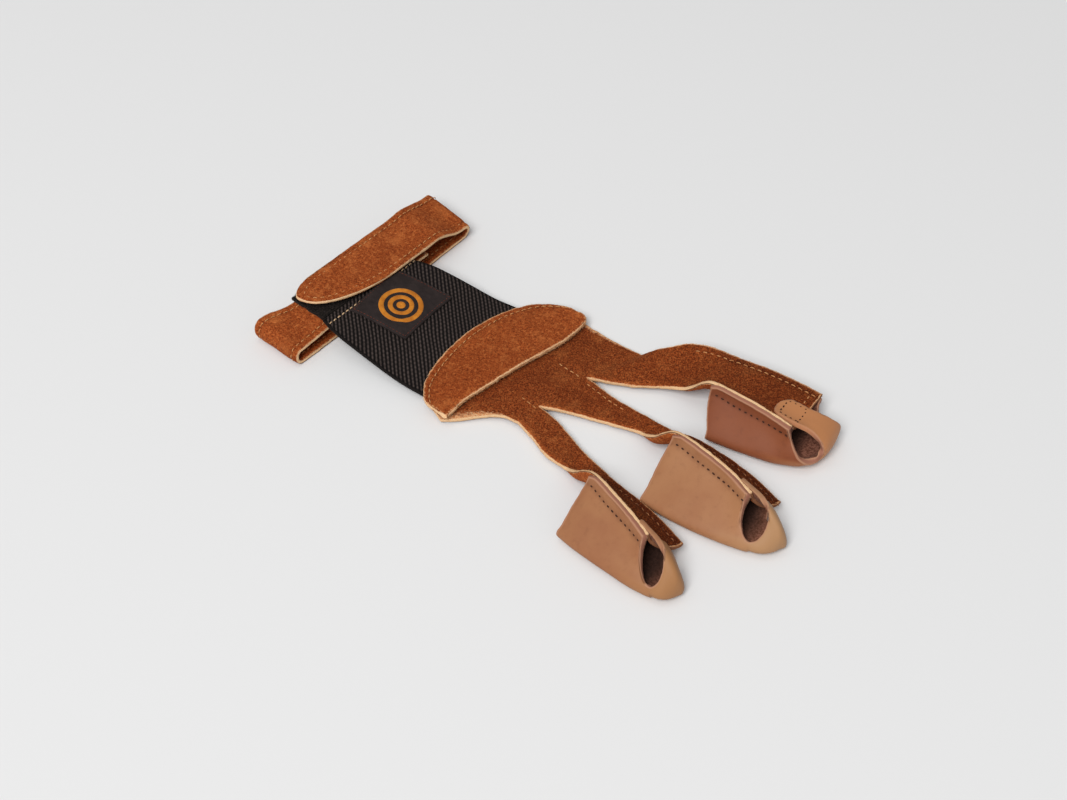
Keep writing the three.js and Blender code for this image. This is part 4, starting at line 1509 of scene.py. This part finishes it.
# Crescent: puffed a little, stitched along its rear arc, its front edge thick and frayed
def build_patch():
    grid = patch_grid()
    normals = grid_normals([grid])[0]
    rear, front = (part.T for part in edge_distances(turned(grid)))
    groove = furrow(rear, SUEDE_INSET)
    puff = smooth(np.minimum(rear, front) / 5)
    rise = 0.35 * np.exp(-((front / 2.2) ** 2))
    relief = 0.25 * puff + rise + wrinkles(grid, (0.1, 8, 21), (0.06, 3, 22))
    # The stitch furrow is darkened through the marks: painted shade
    patch = make_sheet(
        "knuckle_patch_suede", [grid], SUEDE + NAP, suede, ragged=0.18, edge=0.85,
        band=1.5, relief=[relief - FURROW_DEPTH * groove], marks=[0.4 * groove],
    )
    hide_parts("knuckle_patch")
    line, lean = inset_line(turned(grid), turned(normals), 0, SUEDE_INSET)
    runs = [stitch_run(line, lean, SUEDE / 2 + 0.1, 4)]
    make_stitches("knuckle_patch_stitches", runs, cream_thread, *PATCH_STITCH)


build_patch()


# Rounds the crease where a trough turns up into its tongue
def round_hem(trough, tongue):
    first = TONGUE_FIRST * FINE
    last = first + tongue.shape[1]
    strip = np.concatenate([trough[:-1, first:last], tongue])
    rows = np.arange(len(strip)) - len(trough) + 1
    ease = np.exp(-((rows / (4 * FINE)) ** 2))[1:-1, None, None] / 4
    eased = strip.copy()
    for _ in range(8 * FINE):
        eased[1:-1] += ease * (eased[:-2] - 2 * eased[1:-1] + eased[2:])
    shift = eased - strip
    columns = np.arange(trough.shape[1]) - first
    beside = np.maximum(-columns, columns - tongue.shape[1] + 1)
    fade = np.exp(-((np.maximum(beside, 0) / (1.5 * FINE)) ** 2))[None, :, None]
    nearest = np.clip(columns, 0, tongue.shape[1] - 1)
    trough = trough + fade * shift[:len(trough), nearest]
    return trough, tongue + shift[len(trough) - 1:]


# The notch where a stall's open end meets its tongue: how deep its round end is, and how far
# its sides swell out, as shares of its depth and width, and how much thicker the hem is inside
NOTCH_DEPTH = 0.93
NOTCH_SWELL = 0.35
HEM_SWELL = 0.7

# A cubic curve goes this share of the way to its two inner points
CUBIC_REACH = 0.75


# Bends the trough's open edge and the tongue's left edge into one round notch
def round_notch(finger, trough, tongue):
    first = TONGUE_FIRST * FINE
    rim = np.concatenate([trough[-1, :first], tongue[:, 0]])
    reach = length_along(rim)
    from_end = reach - reach[first]
    span = finger["notch"] * (reach[first + FINE] - reach[first - FINE]) / 2
    ends = read_along((-span, span), from_end, rim)
    down = (rim[first] - (ends[0] + ends[1]) / 2) * NOTCH_DEPTH / CUBIC_REACH
    wide = (ends[1] - ends[0]) * NOTCH_SWELL
    bends = [ends[0], ends[0] + down - wide, ends[1] + down + wide, ends[1]]
    arc = cubic(bends, clamp((from_end + span) / (2 * span)))
    inside = (np.abs(from_end) < span)[:, None]
    bent = np.where(inside, arc, rim)
    last = first + 15 * FINE
    for _ in range(10 * FINE):
        bent[1:last] = (bent[:last - 1] + 2 * bent[1:last] + bent[2:last + 1]) / 4
    shift = bent - rim
    rows = np.arange(len(trough))[:, None]
    fade = np.exp(-(((len(trough) - 1 - rows) / (1.5 * FINE)) ** 2))[..., None]
    columns = np.arange(trough.shape[1])
    along = np.clip(columns, 0, first)
    side = np.exp(-((np.maximum(columns - first, 0) / (1.2 * FINE)) ** 2))[None, :, None]
    trough = trough + fade * side * shift[along][None]
    columns = np.arange(tongue.shape[1])[None, :, None]
    fade = np.exp(-((columns / (2.4 * FINE)) ** 2))
    tongue = tongue + fade * shift[first:][:, None]
    tongue[0] = trough[-1, first:first + tongue.shape[1]]
    return trough, tongue


# Lifts the leather's ridge, past its rear corner, until it lies beside the strap's left edge
def meet_strap(finger, trough, strap):
    start = finger_spot(finger, 0, 0, 0)
    forward = finger_step(finger, 1)
    across = finger_step(finger, 0, 1)
    edge = strap[:, 0]
    reach = (edge - start) @ forward
    on_stall = reach > -RIDGE_BEHIND
    order = np.argsort(reach[on_stall])
    along = (trough[:, 0] - start) @ forward
    edge = read_along(along, reach[on_stall][order], edge[on_stall][order])
    goal = edge - RIDGE_BESIDE * across + spot(0, 0, RIDGE_RISE)
    rise = lerp(RIDGE_CORNER, 1, smooth(shares(len(trough) - 1) / 0.1))[:, None]
    shift = (goal - trough[:, 0]) * rise
    weight = 1 - smooth(np.arange(trough.shape[1]) / trough.shape[1] * TROUGH_COLUMNS / RIDGE_COLUMNS)
    return trough + weight[None, :, None] * shift[:, None]


# How far the stitches of a tab lie inside its edge, and how far the threads sink in the leather
TAB_INSET = 1.5
SEAM_THREAD_SINK = 0.2
TAB_THREAD_SINK = 0.12


# A stall: its leather, the seam's stitches and those that hold its tab
def build_stall(finger):
    name = finger["name"]
    trough, tongue = stall_grids(finger)
    trough, tongue = round_hem(trough, tongue)
    trough, tongue = round_notch(finger, trough, tongue)
    trough = meet_strap(finger, trough, straps[name])
    grids = [trough[:, ::-1], tongue[:, ::-1]]
    trough, tongue = grids
    normals = grid_normals(grids)
    left, right = edge_distances(trough)
    along = shares(len(trough) - 1)
    from_end = np.arange(len(trough))[::-1][:, None]
    up_tongue = np.arange(len(tongue))[:, None]
    plain, plain_tongue = 0 * left, 0 * tongue[..., 0]
    inset = SEAM_INSET + 1.2 * np.sin(math.pi * along) - 0.7 * along
    # The seam's stitch furrow, dimpled at each stitch, is darkened through the marks: painted shade
    beat = 0.7 + 0.3 * np.cos(2 * math.pi * (along * finger["length"] / SEAM_STITCH[0] - 0.5))
    groove = furrow(right, inset[:, None]) * beat[:, None] * 0.8
    inside = smooth(np.minimum(left, right) / 1.0)
    relief = wrinkles(trough, (0.14, 15, 31)) * inside - 0.6 * FURROW_DEPTH * groove
    relief = relief * smooth(from_end / 6)
    tongue_relief = wrinkles(tongue, (0.1, 15, 31)) * smooth(up_tongue / 6)
    hem = plain + np.exp(-((from_end / (1.6 * FINE)) ** 2))
    lip = plain_tongue + np.exp(-((up_tongue / (7 * FINE)) ** 2))
    # Painted shade on the inner face, darker away from the hem; the tongue's inner face takes a
    # little too
    recess_shade = plain + smooth((from_end + FINE) / (3 * FINE))
    # Painted shade on the strip between the seam and its stitches
    band = 0.12 * smooth((inset[:, None] - right) / 0.8)
    # The trough's end by the tongue pales too: painted light
    toe = smooth(1 - from_end / (4 * FINE))
    toe = toe * smooth(TONGUE_LAST - TROUGH_COLUMNS * shares(trough.shape[1] - 1))
    # The tab's cut rim and the tongue are paled through negative marks: painted light
    on_tab = plain_tongue + smooth((up_tongue - 6 * FINE) / (5 * FINE))
    pale = plain_tongue + smooth((up_tongue + 2 * FINE) / (4 * FINE))
    stall = make_sheet(
        name + "_stall_leather", grids, LEATHER, leathers[name], rim=0.4,
        edge=0.9, band=0.8, ragged=0.1, relief=[relief, tongue_relief],
        under_relief=[HEM_SWELL * hem, HEM_SWELL * lip],
        marks=[clamp(0.6 * groove + band) - 0.5 * toe, -pale],
        under_marks=[recess_shade, plain_tongue + 0.12], rim_marks=[plain, -0.8 * on_tab],
    )
    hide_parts(name + "_stall")
    runs = [
        stitch_run(*inset_line(trough, normals[0], side, seam), LEATHER / 2 - SEAM_THREAD_SINK, 2)
        for side, seam in ((1, inset), (0, SEAM_INSET))
    ]
    make_stitches(name + "_stall_stitches", runs, brown_thread, *SEAM_STITCH)
    tab, lean = (part[-TAB_ROWS * FINE - 1:] for part in (tongue, normals[1]))
    there, back = (inset_line(tab, lean, side, TAB_INSET) for side in (0, 1))
    line, slope = (np.concatenate([a[:-6], b[:-6][::-1]]) for a, b in zip(there, back))
    height = LEATHER / 2 - TAB_THREAD_SINK
    runs = [stitch_run(line, slope, height), stitch_run(tab[1], lean[1], height, 4)]
    make_stitches(name + "_tab_stitches", runs, brown_thread, *TAB_STITCH)


for finger in FINGERS:
    build_stall(finger)


# Floor: half its side and how far it lies under the glove, in metres
FLOOR_REACH = 6.0
FLOOR_DROP = 0.0004

# Each light's direction in degrees, its distance and size in metres, and its power in watts
LIGHTS = table("name azimuth elevation distance size power", [
    ("key light", 14, 50, 4, 1.8, 130),
    ("top light", -40, 76, 1.5, 1.0, 3),
])


def build_stage():
    mesh = bpy.data.meshes.new("floor")
    corners = [(-1, -1), (1, -1), (1, 1), (-1, 1)]
    mesh.from_pydata([(FLOOR_REACH * x, FLOOR_REACH * y, 0) for x, y in corners], [], [range(4)])
    floor = bpy.data.objects.new("floor", mesh)
    nodes = Nodes("pale floor")
    mesh.materials.append(nodes.finish(rgb(229, 229, 229), 0.9, specular=0.1))
    bpy.context.scene.collection.objects.link(floor)
    floor.location.z = -FLOOR_DROP


# Puts a camera or a light at a distance in a direction, looking back
def aim(name, data, azimuth, elevation, distance, centre=(0, 0, 0)):
    turn, rise = math.radians(azimuth), math.radians(elevation)
    back = Vector((
        math.sin(turn) * math.cos(rise), -math.cos(turn) * math.cos(rise), math.sin(rise)
    ))
    placed = bpy.data.objects.new(name, data)
    placed.location = Vector(centre) + back * distance
    placed.rotation_mode = "QUATERNION"
    placed.rotation_quaternion = (-back).to_track_quat("-Z", "Y")
    bpy.context.scene.collection.objects.link(placed)
    return placed


def build_camera():
    data = bpy.data.cameras.new("camera")
    data.lens = VIEW_LENS
    data.sensor_width = SENSOR_WIDTH
    bpy.context.scene.camera = aim(
        "camera", data, VIEW_AZIMUTH, VIEW_ELEVATION, VIEW_DISTANCE, SHIFT / 1000
    )


def build_lights():
    for row in LIGHTS:
        data = bpy.data.lights.new(row["name"], "AREA")
        data.shape = "SQUARE"
        data.size = row["size"]
        data.energy = row["power"]
        aim(row["name"], data, row["azimuth"], row["elevation"], row["distance"])
    world = bpy.data.worlds.new("studio")
    world.use_nodes = True
    backdrop = world.node_tree.nodes["Background"]
    backdrop.inputs["Color"].default_value = (1, 1, 1, 1)
    backdrop.inputs["Strength"].default_value = 0.3
    bpy.context.scene.world = world
    bpy.context.scene.view_settings.view_transform = "Standard"


build_stage()
build_camera()
build_lights()
